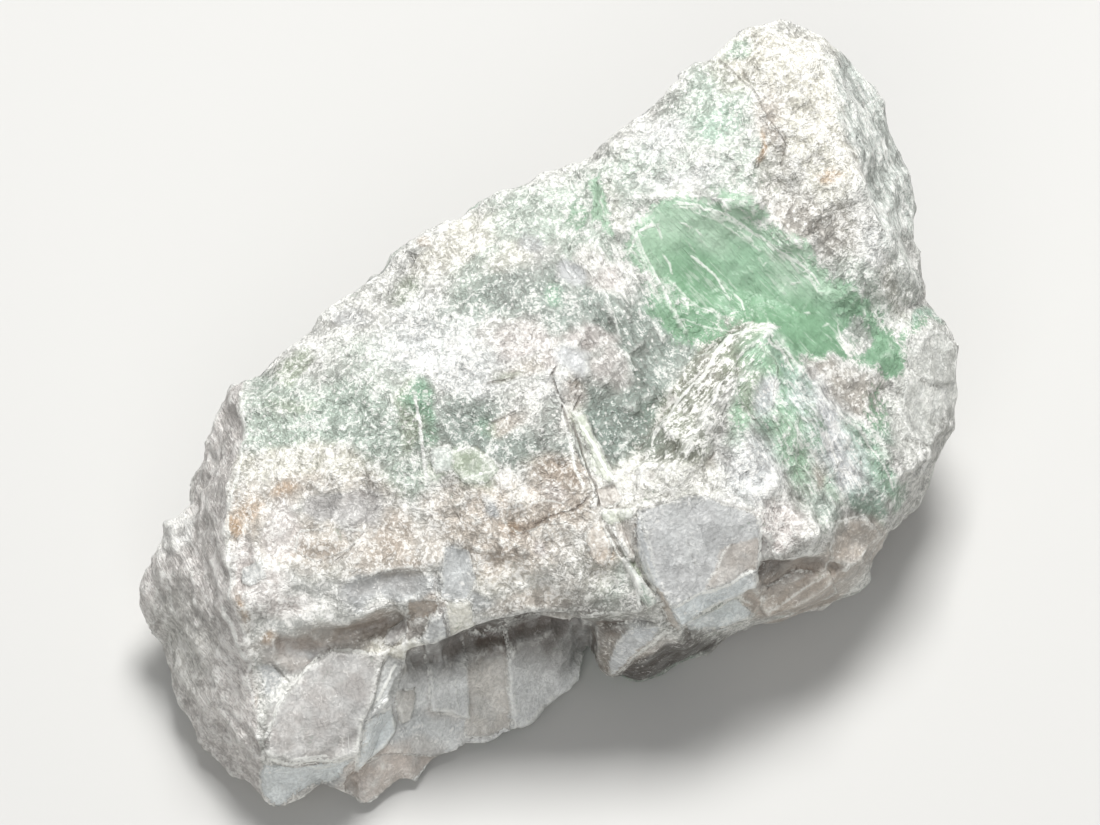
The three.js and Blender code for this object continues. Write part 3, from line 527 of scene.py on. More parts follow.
        (50, 72, 4, 1.2, -24, 0.4, 0.5), (54.8, 69.8, 2, 2, -24, 0.3, 0.5),
    )),
    (Tint.SCAR_MAUVE, ovals((37.4, 77.6, 5, 2.2, -30), (42.6, 66, 2.4, 0.9, -8, 0.7))),
    (Tint.FOOT_BROWN, ovals(
        (80.4, 59, 6, 2.4, -24, 1, 0.2), (85.6, 54.4, 3.4, 2.4, -28, 0.9),
        (62, 66.4, 3, 1.8, -10, 0.6, 0.4),
    )),
    (Tint.BLOCK_BROWN, ovals((60.8, 65, 2.4, 3.2, 0, 0.9, 0.4))),
    # The rough block's lower face is painted dark: painted shade.
    (Tint.BLOCK_PAINTED_SHADE, ovals((66.8, 66.6, 6.4, 2, -22))),
    # Under the ledges and the rough block: partly the stone's brown, partly painted shade.
    (Tint.UNDERCUT_TAN_AND_SHADE, ovals(
        (35.6, 63.2, 5.8, 1.5, -10, 0.85, 0.7), (30, 64.2, 4.4, 1.1, -2, 0.7, 0.7),
        (78.6, 57, 4, 1.2, -14, 0.9, 0.6), (42.8, 60.8, 1.6, 0.7, -8, 0.6, 0.5),
        (39.4, 62, 1.6, 1, -20, 0.5, 0.6),
    )),
)
# The brown end face has a greener stretch along its middle and a pale nub at its top.
END_TONES = (
    (Tint.END_GREEN, Patch(18.4, 64, 2.4, 5, -14, 0.4, 0.5)),
    (Tint.NUB_PALE, Patch(17.4, 53.4, 1.8, 2.2, 0, 0.9)),
)
# Painted shade under the shelf and the other overhangs, laid over the flat breaks too.
PAINTED_SHADE_OVALS = ovals(
    (50.6, 64.2, 10, 1.6, -16, 0.95, 0.9), (55.6, 63.9, 4.4, 2.6, -14, 0.85, 0.9),
    (61.4, 62.4, 1.4, 0.7, 0, 0.7, 0.4), (77.2, 56.9, 2.6, 0.8, -16, 0.8, 0.5),
    (59.3, 65.6, 0.6, 2.6, 0, 0.8, 0.5),
)
# What the hidden sides are made of: the tone, how wide its bands are in mm, where a band starts and
# is full, and which bands they are.
HIDDEN_TONES = (
    (Tint.PALE_GREEN, 19.0, 0.0, 0.45, 50), (Tint.CREAM, 16.0, 0.15, 0.5, 51),
    (Tint.TAN, 20.0, 0.1, 0.5, 52), (Tint.GREY_GREEN, 15.0, 0.2, 0.5, 53),
    (Tint.BLUE_GREY, 17.0, 0.2, 0.4, 61), (Tint.END_MAUVE, 26.0, 0.1, 0.4, 55),
    (Tint.SEA_GREEN, 14.0, 0.35, 0.6, 56), (Tint.BROWN, 9.0, 0.4, 0.7, 57),
)

# Waxy green variscite with next to no quartz in it: the hollow's outline, what lies beside it, and
# the gaps in it.
WAX_OUTLINE: Run = line(
    63.4, 25.3, 63.9, 22.9, 65.7, 20, 68.6, 19.5, 71.8, 20, 75.5, 21.9, 78.6, 24.3, 81.3, 26.4, 83.9,
    28.2, 86.5, 29.8, 87.6, 31.9, 89.7, 34, 90.7, 35, 90.2, 37.1, 88.6, 38.7, 87, 36.6, 85.5, 35.6, 83.4,
    35, 81.3, 36.6, 79.2, 35.6, 77, 33.2, 74.4, 32.1, 71.8, 31.4, 69.1, 30.3, 66.5, 28.7, 64.4, 26.6,
)
WAX = ovals(
    (60.3, 20.4, 1.2, 2.6, -25, 0.85, 0.5), (57.6, 21, 1.2, 1.2, 0, 0.5, 0.5),
    (68.4, 32, 1.4, 3.6, -32, 0.5, 0.5), (74.6, 20.6, 4.4, 1.5, 34, 0.62, 0.6),
    (79, 36.6, 0.9, 3, -18, 0.5, 0.5), (66, 30.6, 1.4, 3.4, -30, 0.5, 0.5),
    (81.6, 43, 1.2, 3, -30, 0.4, 0.5), (88, 41, 1.4, 2.4, -10, 0.5, 0.5), (76.6, 35.8, 2, 2, 0, 0.4, 0.6),
    (78.4, 39.6, 0.8, 5, -24, 0.4, 0.6), (79.8, 25, 5.4, 1.6, 40, 0.6, 0.6),
    (69, 31.6, 5, 2, 24, 0.78, 0.7), (91.8, 33, 2.2, 0.8, -34, 0.45, 0.6),
    (87.4, 46.6, 0.7, 3.4, -34, 0.35, 0.6),
)
WAX_GAPS = ovals(
    (85.2, 33.2, 1.5, 2, -20, 0.8, 0.4), (75.6, 33.6, 2.6, 1, -24, 1, 0.4), (82, 38, 2.8, 1.2, 0, 1, 0.4),
    (68, 29.8, 3, 0.9, 30, 0.2, 0.5),
)
WAX_PALE = ovals(
    (65.6, 24.4, 2.2, 5, -10), (73, 21.4, 7.6, 1.7, 27), (80, 26.6, 5.4, 1.7, 36), (76, 20.6, 5, 2, 30),
    (60.3, 20.2, 1.6, 2.6, -25), (65.8, 28, 1.4, 3, -30, 0.6), (79.8, 23.6, 7.4, 1.6, 36, 0.8),
    (76.4, 35.4, 2.6, 2.2, 0, 0.9), (87.4, 46.6, 1.4, 4, -34, 0.8), (69.4, 22.4, 4, 2.2, 40, 1, 0.4),
    (79.8, 28.6, 3, 1.5, 40, 0.8, 0.4),
)
WAX_DARK = ovals(
    (69.6, 28, 4.4, 2.6, 36, 0.85, 0.5), (81.6, 33.6, 5, 2.6, 54, 0.9, 0.4),
    (88.6, 35.8, 2.4, 3, -10, 0.6, 0.5), (77.4, 30.6, 4, 1.4, 32, 0.5, 0.5),
    (86, 30.8, 2.4, 1, 20, 0.3, 0.5), (75.6, 31.4, 3.8, 1.8, 24), (69, 31.6, 4.4, 2, 24, 0.7, 0.5),
    (71.4, 28.6, 3.6, 1.8, 40, 0.6, 0.5),
)

# Breaks that are smooth and glassy rather than sugary.
GLASSY = ovals(
    (71.6, 26, 8.4, 5.2, 36, 0.85), (77.4, 29.2, 8, 4, 38, 0.85), (82.4, 33.2, 5, 2.6, 52, 0.8),
    (88.2, 35.2, 2.6, 3.6, -8, 0.4), (47.6, 69.4, 12.8, 6.2, -22, 0.9, 0.15),
    (36.4, 76.6, 5.4, 3.2, -30, 0.85, 0.2), (33, 70.8, 5.8, 6.6, 20, 0.95, 0.12),
    (29.4, 78.4, 4.2, 2, -20, 0.8), (70.2, 54.8, 6.4, 5.4, 0, 0.95, 0.12), (71.8, 59, 4.6, 1.4, -26, 0.9),
    (93, 38.6, 3, 6, 10, 0.65), (29.8, 65.4, 2.8, 1.9, -10), (35.2, 51.6, 2, 1.3, 10, 0.6),
    (33, 51, 1.6, 0.9, -20, 0.5), (38, 58.8, 5, 1.5, -6, 0.75), (45.6, 56.8, 1.6, 2.4, 6, 0.8),
    (57.5, 27.2, 1.5, 1, 40, 0.6), (57.6, 35.9, 2, 1.6, 10, 0.7), (36, 62.4, 5.4, 1.2, -8, 0.8),
    (47.2, 47.2, 2.6, 1.6, 30, 0.7), (44.4, 46.6, 1.6, 1.2, -20, 0.7), (62.6, 65, 4.6, 3.4, 0, 0.6),
    (80.6, 58.6, 6.4, 3, -24, 0.75), (85.6, 54.4, 3.4, 2.2, -28, 0.6), (26.8, 68.4, 1.1, 1.8, 0, 0.8),
    (60.4, 51.8, 1.4, 1, -30, 0.7), (43.6, 62, 1.8, 1.8, 0, 0.6), (32.4, 63, 8, 2.4, -8, 0.85),
    (30, 55.6, 8, 7, 0, 0.56, 0.5), (39.4, 56, 5, 5, 0, 0.56, 0.5), (50, 58.4, 6, 2.6, 0, 0.4, 0.5),
    (37.6, 77.6, 5, 3, -30, 1, 0.15), (68, 66.2, 5.4, 1.6, -22, 0.5, 0.4),
    (76.4, 36, 2.4, 2.6, 0, 0.5, 0.4),
)

# Where the break is most jagged.
HACKLY = ovals(
    (50, 52, 9, 5, 8), (29, 56, 6, 6), (78.6, 52, 4, 3), (66, 46, 6, 3, -10), (75, 44, 4, 6, -30),
    (78, 16, 5, 8, -30), (84, 38.6, 5, 3, 10), (54, 36, 6, 4), (70.6, 38, 8, 2.4, 126), (55, 59, 6, 2),
)

# Where the grain is drawn out in streaks, and the way of each, as across, down and out on the sheet.
HOLLOW_WAY, WEDGE_WAY = (0.7, 0.71, -0.15), (0.5, 0.85, -0.15)
END_WAY, FLANK_WAY = (0.5, 0.87, 0.72), (0.63, -0.78, 0.1)
HOLLOW_STREAKS = ovals((76, 28, 14.6, 6.4, 37))
WEDGE_STREAKS = ovals(
    (80.6, 44.6, 5.6, 9.6, -36), (87.6, 13.4, 3, 12.4, -16, 1, 0.2), (61, 30.4, 6, 11, -30, 0.9, 0.4),
    (59.6, 45, 2, 6, -28, 0.7, 0.4),
)
FLANK_STREAKS = ovals((70.4, 40.4, 9.5, 2.8, 128))
STREAK_WAYS = {
    "hollow_streaks": HOLLOW_WAY,
    "wedge_streaks": WEDGE_WAY,
    "end_streaks": END_WAY,
    "flank_streaks": FLANK_WAY,
}
# Which way the stone's bands run on the sides that the photograph doesn't show.
HIDDEN_GRAIN = np.array((0.8, -0.5, 0.33)) / np.linalg.norm((0.8, -0.5, 0.33))
# The sharp ridge before the brown end face, as down and across.
LEFT_RIDGE = (
    (38.2, 24.5), (44.0, 24.2), (48.0, 22.8), (54.0, 22.5),
    (59.8, 23.6), (66.0, 25.2), (73.7, 25.9), (80.2, 26.2),
)


class Form(Enum):
    """What a mark does to the surface."""

    GROOVE = "groove"
    RIDGE = "ridge"
    LEDGE = "ledge"


@dataclass(frozen=True)
class Mark:
    """A crack, a thin ridge or a small ledge along a line of the seen side, in sheet millimetres.

    A ledge lowers what lies to the right of its run, and the drop dies out over its reach. The
    darkness is that of the bottom of a crack.
    """

    form: Form
    run: Run
    darkness: float = 0.0
    depth: float = 0.12
    width: float = 0.3
    reach: float = 1.6


MARKS: tuple[Mark, ...] = (
    Mark(Form.GROOVE, line(56, 36.2, 55.2, 37.5, 55.9, 39.4, 56.3, 41, 57, 43.4), 0.8),
    Mark(Form.GROOVE, line(57, 42, 58, 44.2, 58.9, 46.4, 60, 48.8, 60, 51), 0.8),
    Mark(Form.GROOVE, line(58.2, 39.5, 57.7, 40.5, 57, 41.5), 0.6),
    Mark(Form.GROOVE, line(59.6, 49, 58.6, 50.1, 57.6, 51.1, 55, 51.8, 53, 52.6), 0.6, 0.2, 0.3),
    Mark(Form.GROOVE, line(60.4, 52, 61, 53.3, 61.8, 54.9, 62.6, 56.3), 0.5, 0.06, 0.3),
    Mark(Form.GROOVE, line(63.5, 51, 63.9, 53.6, 64.6, 56.6, 65.6, 59, 66.8, 61.2), 0.1, 0.12, 0.35),
    Mark(Form.GROOVE, line(48.2, 38.4, 50, 38, 51.8, 37.6), 0.5),
    Mark(Form.GROOVE, line(48.7, 42.3, 50.2, 41.8, 51.8, 41), 0.6),
    Mark(Form.GROOVE, line(71.5, 5.8, 75.3, 8.8, 78.6, 14.4, 78.1, 17.1), 0.4),
    Mark(Form.GROOVE, line(33, 56.4, 34.2, 55.6, 35.4, 54.4), 0.4),
    Mark(Form.GROOVE, line(44, 60.5, 44.8, 64, 45.2, 65), 0.5),
    Mark(Form.GROOVE, line(71.9, 44.6, 70.9, 46.2), 0.5),
    Mark(Form.GROOVE, line(68.4, 53.4, 69.2, 55.6, 69.8, 57.2), 0.2),
    Mark(Form.GROOVE, line(26.8, 66, 28.2, 67.6, 29.2, 68.4), 0.4),
    # This one deepens the shade under the shelf.
    Mark(
        Form.GROOVE, line(40.4, 66.2, 43.4, 65.7, 46.6, 64.5, 50, 63.5, 54, 62.7, 58.4, 62.6), 0.0, 1.8, 0.95
    ),
    Mark(Form.GROOVE, line(27.4, 64.4, 31, 64.3, 34.6, 63.9, 38, 62.9, 40.6, 61.7), 0.0, 0.62, 1.5),
    Mark(Form.GROOVE, line(75.9, 59.2, 73.2, 61.4, 70, 63, 68, 63.9), 0.0, 0.9, 0.6),
    Mark(Form.GROOVE, line(75.8, 56.7, 79, 56.9, 82.4, 56.3, 84.8, 57.3), 0.0, 1.0, 0.7),
    Mark(Form.LEDGE, line(77.2, 33, 79.2, 35.8, 79.9, 38.2, 82.5, 40.7, 85.5, 42.6, 88, 45.2), 0.0, 0.4),
    Mark(Form.LEDGE, line(44.3, 56.6, 44.2, 58.4, 43.8, 60.2), 0.0, 0.4),
    Mark(Form.RIDGE, line(41.5, 38.8, 41.9, 42.6, 42.6, 46.8, 42.9, 49.2), 0.0, 0.2),
    Mark(Form.RIDGE, line(21.3, 59.7, 22.5, 61.5, 24, 64.5, 25, 66.4), 0.0, 0.3),
    Mark(Form.RIDGE, line(62.4, 21, 64.4, 25.6, 67, 30.4, 69, 33.6), 0.0, 0.25),
    Mark(Form.RIDGE, line(60.6, 23, 62.4, 27.4, 64.6, 31.4, 66.6, 34.6), 0.0, 0.2),
    Mark(Form.RIDGE, line(59.2, 27, 61, 31, 62.4, 35.4, 63.2, 38.6), 0.0, 0.2),
    Mark(Form.RIDGE, line(76.2, 61.2, 79, 59.8, 82, 57.6, 83.8, 56), 0.0, 0.35, 0.5),
)
# Broken edges that are bruised white: how white, then the line's corners.
BRUISES: tuple[tuple[float, ...], ...] = (
    (0.9, 41.6, 39.4, 41.9, 42.6, 42.5, 46.2, 42.9, 48.8),
    (0.9, 32.4, 65.2, 30.6, 66.8, 29.4, 68.2, 27.9, 70.6, 26.4, 74.2),
    (0.8, 32.6, 65.2, 35, 65, 38.3, 65.3), (0.7, 32, 65.8, 30.2, 67.2, 28.8, 69, 27.2, 72.2),
    (1.0, 26.4, 75.6, 28.6, 76.4, 30.4, 76, 33, 76.3, 35.6, 75.7),
    (0.7, 26.2, 74.8, 28.2, 75.8, 30.6, 75.5, 33.4, 75.7), (0.6, 29.4, 76.9, 31.8, 77.2, 35, 76.5),
    (0.9, 36.2, 71.8, 35.8, 74.4, 35.9, 76.8, 37.4, 75.3), (0.5, 33.8, 72.4, 34.4, 74.4, 34.2, 75.8),
    (0.9, 39.8, 66, 38.8, 68.4, 37.4, 71), (0.45, 50.9, 66.6, 51, 69, 51.3, 72.4),
    (0.25, 52.7, 66.4, 53, 67.6, 52.8, 69), (0.4, 45.4, 67.4, 45.6, 69.6, 46, 71.4),
    (0.6, 43.2, 71.4, 44.8, 71.6, 46.6, 71.8), (0.5, 41.8, 69.4, 43, 69.6, 43.2, 71.4),
    (0.4, 40.6, 72.4, 41.2, 70.6, 41.4, 69), (0.7, 51.6, 73, 54.4, 70.9, 56.6, 69.6, 58, 68, 58.6, 65.6),
    (0.5, 45.6, 75.4, 48.4, 74.2, 51, 73.2),
    (0.7, 39.6, 66, 41.6, 65.7, 43.6, 65, 46.6, 63.7, 50, 62.7, 54, 61.9, 58, 61.7, 60.4, 61.3, 62.8, 60.9),
    (0.8, 22, 59.9, 23, 62.2, 24.2, 64.8, 25, 66.2),
    (0.6, 13.4, 59.4, 14.8, 63.4, 16.8, 67.6, 18.4, 71.4), (0.5, 16.4, 56.2, 17.4, 60.6, 19, 66),
    (0.6, 19.4, 43.6, 18.8, 48, 17.4, 52), (0.9, 55.3, 38, 56.3, 41.4, 56.9, 44, 57.6, 46.8, 58.8, 49.2),
    (0.9, 57.4, 41.8, 58.8, 43.8, 60, 46, 61.3, 47.8, 62.3, 49.8),
    (0.9, 60, 51.3, 60.7, 50.9, 63.2, 50.6), (0.9, 55.1, 37.8, 56.4, 41, 56.8, 43.3),
    (1.0, 60.1, 51.5, 61.2, 54.2, 62.4, 56.2, 63.7, 58.8, 64.2, 61),
    (0.8, 63, 56.8, 63.9, 57.9, 65, 59.2, 66, 60.2), (0.9, 75.9, 51.8, 75.9, 54.4, 75.9, 58.8),
    (0.9, 69.6, 52.3, 69.7, 53.3), (1.0, 66.7, 58.2, 66.9, 58.9), (1.0, 67.1, 55.4, 67.7, 55.8),
    (0.5, 71.8, 54, 73.2, 53.8, 74.2, 53.6), (0.4, 68.2, 53.4, 69, 55.4, 70.3, 57.2),
    (0.6, 70.4, 58.4, 71.6, 57, 72.3, 55.4, 73.2, 54),
    (0.7, 75.9, 56.3, 78.4, 56.2, 80.8, 55.4, 81.9, 52.9),
    (0.6, 76.2, 61.2, 79, 59.8, 82, 57.6, 83.8, 56), (0.8, 61.2, 68, 63.2, 65.8, 65.2, 64.2, 67, 62.5),
    (0.6, 69, 62, 71.6, 61, 74.4, 60.4, 76, 60.4),
    (0.3, 26.8, 62.6, 30, 62.7, 34.4, 61.9, 38, 61, 40.6, 60.4),
    (0.5, 16.2, 56.4, 15.4, 60, 17, 65, 19.2, 70.4), (0.8, 63, 25.8, 63.8, 23.2, 66.2, 22.2),
    (0.9, 75.7, 56.9, 74, 57.6, 72.2, 58.6, 70.2, 59.3, 68.2, 60.4, 67.1, 61),
    (0.8, 75.6, 58.8, 74, 59.7, 71.7, 60.5, 70.2, 61.4, 69.2, 62.4, 67.9, 63.1),
    (0.7, 43, 44.8, 44.6, 44.5, 45.4, 45.4, 47, 44.8, 49.2, 46, 50.4, 47.2),
    (0.6, 44.8, 48.6, 46.2, 48.2, 48.4, 47.4, 51.4, 47.2, 53.6, 47),
    (0.9, 75.6, 33.2, 73.8, 33.6, 72, 35.4, 70.4, 37.8, 68.6, 40.2, 66.4, 42.6, 65, 44.6),
    (0.8, 76.4, 33.6, 78.4, 35, 79.6, 37.6),
    (0.75, 67, 20, 69.4, 20.4, 72.4, 21.3, 75, 23, 78, 25, 80.4, 26.8, 82.4, 28.8),
    (0.5, 68.4, 20.9, 71.6, 21.9, 74.4, 23.9, 76.6, 25.6), (0.5, 77.4, 23.6, 79.6, 25.2, 81.4, 27.2),
    (0.6, 83.6, 31.6, 84, 33.6, 85.6, 35.2), (0.45, 66.4, 27.6, 69.4, 30.4, 72.6, 31.8),
    (0.5, 67.6, 31.4, 71, 32.8, 74.6, 33), (0.7, 81, 38.8, 83.6, 41, 86.2, 43, 88.4, 46.4, 89.4, 49.4),
    (0.6, 62.6, 20.8, 64.6, 25.4, 66.4, 29.2, 68.8, 33.2), (0.5, 60.8, 22.8, 62.6, 27.2, 64.4, 31),
    (0.5, 59.4, 26.6, 61.2, 30.8, 62.2, 34.8),
    (0.8, 24.6, 39.6, 24, 46, 22.9, 50, 22.8, 54, 23, 57.6, 23.4, 60.6),
    (0.6, 26, 39.8, 30, 36.4, 33.4, 33.6, 38, 30.4),
    (0.5, 83.6, 6.4, 85, 10.2, 85.8, 15, 87.4, 20.6, 88.4, 25.6),
    (0.6, 91.6, 33.8, 90.6, 36.6, 90.4, 40.4, 89.8, 43.6),
)


@dataclass(frozen=True)
class Facet:
    """A flat break with crisp borders: how far it stands out, its rise across and down, and its tone."""

    lift: float
    rise: tuple[float, float]
    tint: Tint | None
    corners: Run

    def inside(self, spot: np.ndarray) -> np.ndarray:
        """Returns how deep inside the facet each point lies, in mm, and less than 0 outside."""
        return depth_in(self.corners, spot)

    def height(self, spot: np.ndarray) -> np.ndarray:
        """Returns how far the facet stands out at each point, as if it had no borders."""
        middle = np.mean(np.array(self.corners), axis=0)
        return self.lift + (spot - middle) @ np.array(self.rise)


FACETS: tuple[Facet, ...] = (
    Facet(0.35, (0, 0), Tint.PLATE_GREY, line(
        33, 65.1, 38.4, 65.4, 37.5, 69, 36.8, 71, 36.2, 72.6, 35.8, 75.6, 33, 76.3, 29, 76, 26.4, 75.4,
        27.6, 71.2, 29.2, 68.8, 30.4, 66.8,
    )),
    Facet(-0.25, (0, 0), Tint.BLUE_WHITE, line(
        26.4, 76.6, 30, 77, 35.6, 76.2, 33.4, 78, 30, 79, 27.6, 80.6, 26, 79.6, 25.6, 77.6,
    )),
    Facet(0.1, (-0.07, 0), Tint.SCOOP_GREY, line(
        51.1, 63.6, 58.8, 62, 59.2, 66.4, 58, 68.4, 55, 70.4, 52.8, 72.8, 51.3, 73, 50.9, 68.6,
    )),
    Facet(-0.15, (-0.03, 0.02), Tint.CHIP_BEIGE, line(
        46.8, 64.6, 50.8, 63.8, 51, 72.8, 49, 73.6, 46.6, 73.6,
    )),
    Facet(0.3, (-0.04, 0.07), Tint.SCOOP_GREY, line(
        42.8, 66, 46.8, 64.6, 47, 71.8, 45.2, 71.4, 43.2, 71.2,
    )),
    Facet(0.25, (0, 0.08), Tint.CHIP_BEIGE, line(39.4, 69, 41.4, 69, 41.2, 72.2, 40.2, 72.4, 39.6, 70.6)),
    Facet(0.4, (0.02, 0.04), Tint.BLUE_WHITE, line(
        36.6, 72.4, 39, 70.6, 39.6, 73, 38.4, 74.8, 37, 76, 35.9, 77, 36.2, 74.4,
    )),
    Facet(-0.35, (0, 0), Tint.WHITE, line(
        39, 65.4, 40.2, 66.2, 39.6, 69.2, 37, 71.2, 37.8, 68.6, 38.2, 66.6,
    )),
    Facet(-0.2, (0, 0), Tint.SCAR_MAUVE, line(
        35.4, 77.6, 38.6, 75.6, 44, 75.6, 45.4, 75.2, 43, 76.6, 41.6, 78, 38, 79.6, 36.4, 80.6, 34, 78.6,
    )),
    Facet(-0.35, (0, 0), Tint.BROWN, line(40.6, 60, 43.8, 60.2, 43.6, 61.4, 41, 62)),
    Facet(0.25, (0, 0), Tint.PLATE_GREY, line(38.6, 63, 40.6, 61.8, 40.6, 63.2, 39, 64.6, 38.3, 64.2)),
    Facet(0.3, (0, 0), Tint.BLUE_GREY, line(43, 61.6, 44.4, 61.4, 44.8, 64.4, 43.4, 65, 42, 64)),
    Facet(0.15, (0, 0), Tint.CREAM, line(44.6, 60.4, 47.2, 60, 47.4, 63.2, 45, 64.4)),
    Facet(0.2, (0, -0.2), Tint.CREAM, line(41.4, 63.8, 42.6, 64.6, 42.4, 65.4, 39.4, 66, 38.6, 65.2)),
    Facet(0.15, (0, 0), Tint.TAN, line(
        58.6, 53, 60, 52.6, 61.2, 54.2, 61, 55.6, 60.4, 56.7, 59.2, 55.9, 58.6, 54.4,
    )),
    Facet(0.25, (0, 0), Tint.SLIVER, line(
        60.1, 51.3, 60.7, 50.9, 63.1, 50.6, 63.4, 51.2, 63.2, 51.8, 61.3, 52.2, 60.6, 52.2,
    )),
    Facet(0.3, (0.05, 0), Tint.PLATE_PINK, line(
        61.3, 52.2, 63.4, 51.8, 63.5, 53.7, 63.4, 56.2, 62.7, 56,
    )),
    Facet(0.2, (0, 0), Tint.LILAC_WHITE, line(
        63.7, 51.2, 64.3, 51.6, 65.1, 54.8, 66.1, 58.4, 67, 60.6, 65.9, 59.4, 64.6, 57.8, 63.7, 55,
    )),
    Facet(0.3, (0, 0), Tint.MINT, line(62.5, 56.2, 63.1, 56.7, 65.8, 60.1, 64.9, 60.6, 63.6, 59)),
    Facet(-0.15, (0, 0), Tint.TAN, line(65.5, 58.8, 66, 58.9, 68, 62.3, 67.9, 63.1, 67, 62.3)),
    Facet(0.3, (0, 0), Tint.SLIVER, line(
        57, 41.3, 58.6, 41.7, 59.4, 43.8, 61.2, 47.1, 61.6, 48.1, 60.6, 48.1, 59.4, 47.1, 58.8, 44.8,
        57.8, 43.3,
    )),
    Facet(-0.1, (0, 0), Tint.END_GREEN, line(
        57.1, 42.4, 57.9, 43.6, 58.8, 45, 59.3, 46.9, 58.3, 46.4, 57.5, 44.6,
    )),
    Facet(-0.2, (0, 0.05), Tint.PLATE_PINK, line(59.4, 48.9, 61.4, 48.2, 62.2, 49.8, 60.4, 50.9)),
    Facet(0.12, (0.01, 0.03), Tint.LILAC_GREY, line(
        63.8, 51, 66.6, 50.4, 68.4, 49.6, 70.2, 49.5, 72.2, 50.5, 75.2, 51.4, 75.9, 52.2, 75.8, 56.8, 74,
        57.5, 72.2, 58.5, 70.2, 59.2, 68.2, 60.3, 67.1, 60.9, 66, 58.4, 65.1, 55.8, 64.2, 53.2,
    )),
    Facet(0.06, (0.02, 0.04), Tint.PLATE_PINK, line(
        72.4, 54.6, 75.8, 53.6, 75.8, 56.7, 74, 57.4, 72.2, 58.4, 70.4, 59, 71.4, 57,
    )),
    Facet(0.1, (0, -0.12), Tint.BLUE_WHITE, line(
        75.8, 56.8, 75.6, 58.7, 74, 59.6, 71.7, 60.4, 70.2, 61.3, 69.2, 62.3, 67.9, 63, 67.2, 61.6, 67.1,
        60.9, 68.2, 60.3, 70.2, 59.2, 72.2, 58.5, 74, 57.5,
    )),
    Facet(-0.1, (0, 0), Tint.BLUE_WHITE, line(
        69, 62.2, 71.6, 61.2, 74.6, 60.6, 75.4, 61.4, 72.6, 63, 69, 63.6,
    )),
    Facet(0.25, (0, 0), Tint.STRIP_GREY, line(
        43.1, 44.8, 44.6, 44.6, 45.4, 45.6, 45, 47.2, 43.6, 47.2, 43.1, 46,
    )),
    Facet(0.3, (0, 0.03), Tint.LEAF_GREEN, line(
        45.4, 45.4, 47.4, 44.8, 49.2, 46, 49.9, 47.2, 48.6, 48.4, 46.6, 48.4, 45.2, 47.2,
    )),
    Facet(0.35, (0.05, 0), Tint.WHITE, line(24.2, 56.8, 26.4, 56, 26.7, 57.6, 25.2, 58.6, 24.3, 58.2)),
    Facet(-0.2, (0, 0.04), None, line(
        38.6, 57.4, 43.6, 57, 43.8, 60, 38.4, 60.8, 33.8, 61.4, 33.6, 58.6,
    )),
    Facet(-0.2, (0.02, 0), Tint.BLUE_GREY, line(44.4, 54.6, 46.8, 55, 47.6, 58, 46.6, 60, 44.2, 60)),
    Facet(0.25, (0.04, 0), None, line(
        91.4, 33.4, 94.4, 33.2, 95.8, 34.8, 95.4, 38.2, 93, 38.6, 90.8, 36.6,
    )),
    Facet(0.15, (-0.04, 0.02), None, line(
        90.8, 37.2, 92.8, 39, 95.2, 39, 94.8, 42.4, 92.6, 44.6, 90.4, 43.6, 90, 40,
    )),
    Facet(0.2, (0.02, 0.04), None, line(
        76, 50.4, 79.4, 49.6, 81.6, 51.2, 81.2, 54.6, 77.6, 55.4, 75.8, 53.2,
    )),
    Facet(0.2, (0, 0.05), None, line(
        76.2, 58.6, 79.6, 57.4, 83, 57.2, 83.6, 59.4, 79.4, 61.2, 76.4, 61.4,
    )),
    Facet(0.2, (0.05, 0), None, line(82.4, 52.6, 86.4, 51.6, 88, 53.4, 86.4, 56.2, 83.4, 56.4)),
    Facet(0.25, (-0.04, -0.04), None, line(
        59.4, 62.8, 62.6, 62, 66.8, 62.2, 65.2, 64.1, 63.2, 65.8, 61.4, 67.8, 59.8, 66,
    )),
    Facet(0.15, (-0.04, -0.04), Tint.LILAC_WHITE, line(
        60.9, 65.8, 61.8, 63.6, 63, 62.3, 66.4, 62.2, 65, 64, 63, 65.6, 61.4, 67.5,
    )),
    Facet(-0.15, (0, -0.06), None, line(
        61.6, 68.2, 63.4, 66.1, 65.4, 64.4, 67.4, 63.2, 72, 63.6, 70, 66, 66, 68, 63, 68.6,
    )),
    Facet(-0.2, (0.06, 0), None, line(
        73.6, 35.2, 75.8, 34.4, 77.6, 36.4, 77.4, 40.6, 75.6, 42, 73.8, 39.6,
    )),
    Facet(-0.2, (0.06, 0), None, line(79.6, 41.6, 82.4, 43, 83.8, 46.4, 82.4, 48.4, 79.8, 46.4)),
    Facet(-0.25, (0, -0.1), None, line(50.8, 50.6, 54.2, 50, 57, 50.6, 55.4, 52.4, 52, 53.2, 50.4, 52.2)),
    Facet(-0.25, (0, -0.06), None, line(
        29.8, 53.2, 33, 52.6, 36.4, 53.2, 34.6, 55, 31.4, 56.2, 29.4, 55,
    )),
)

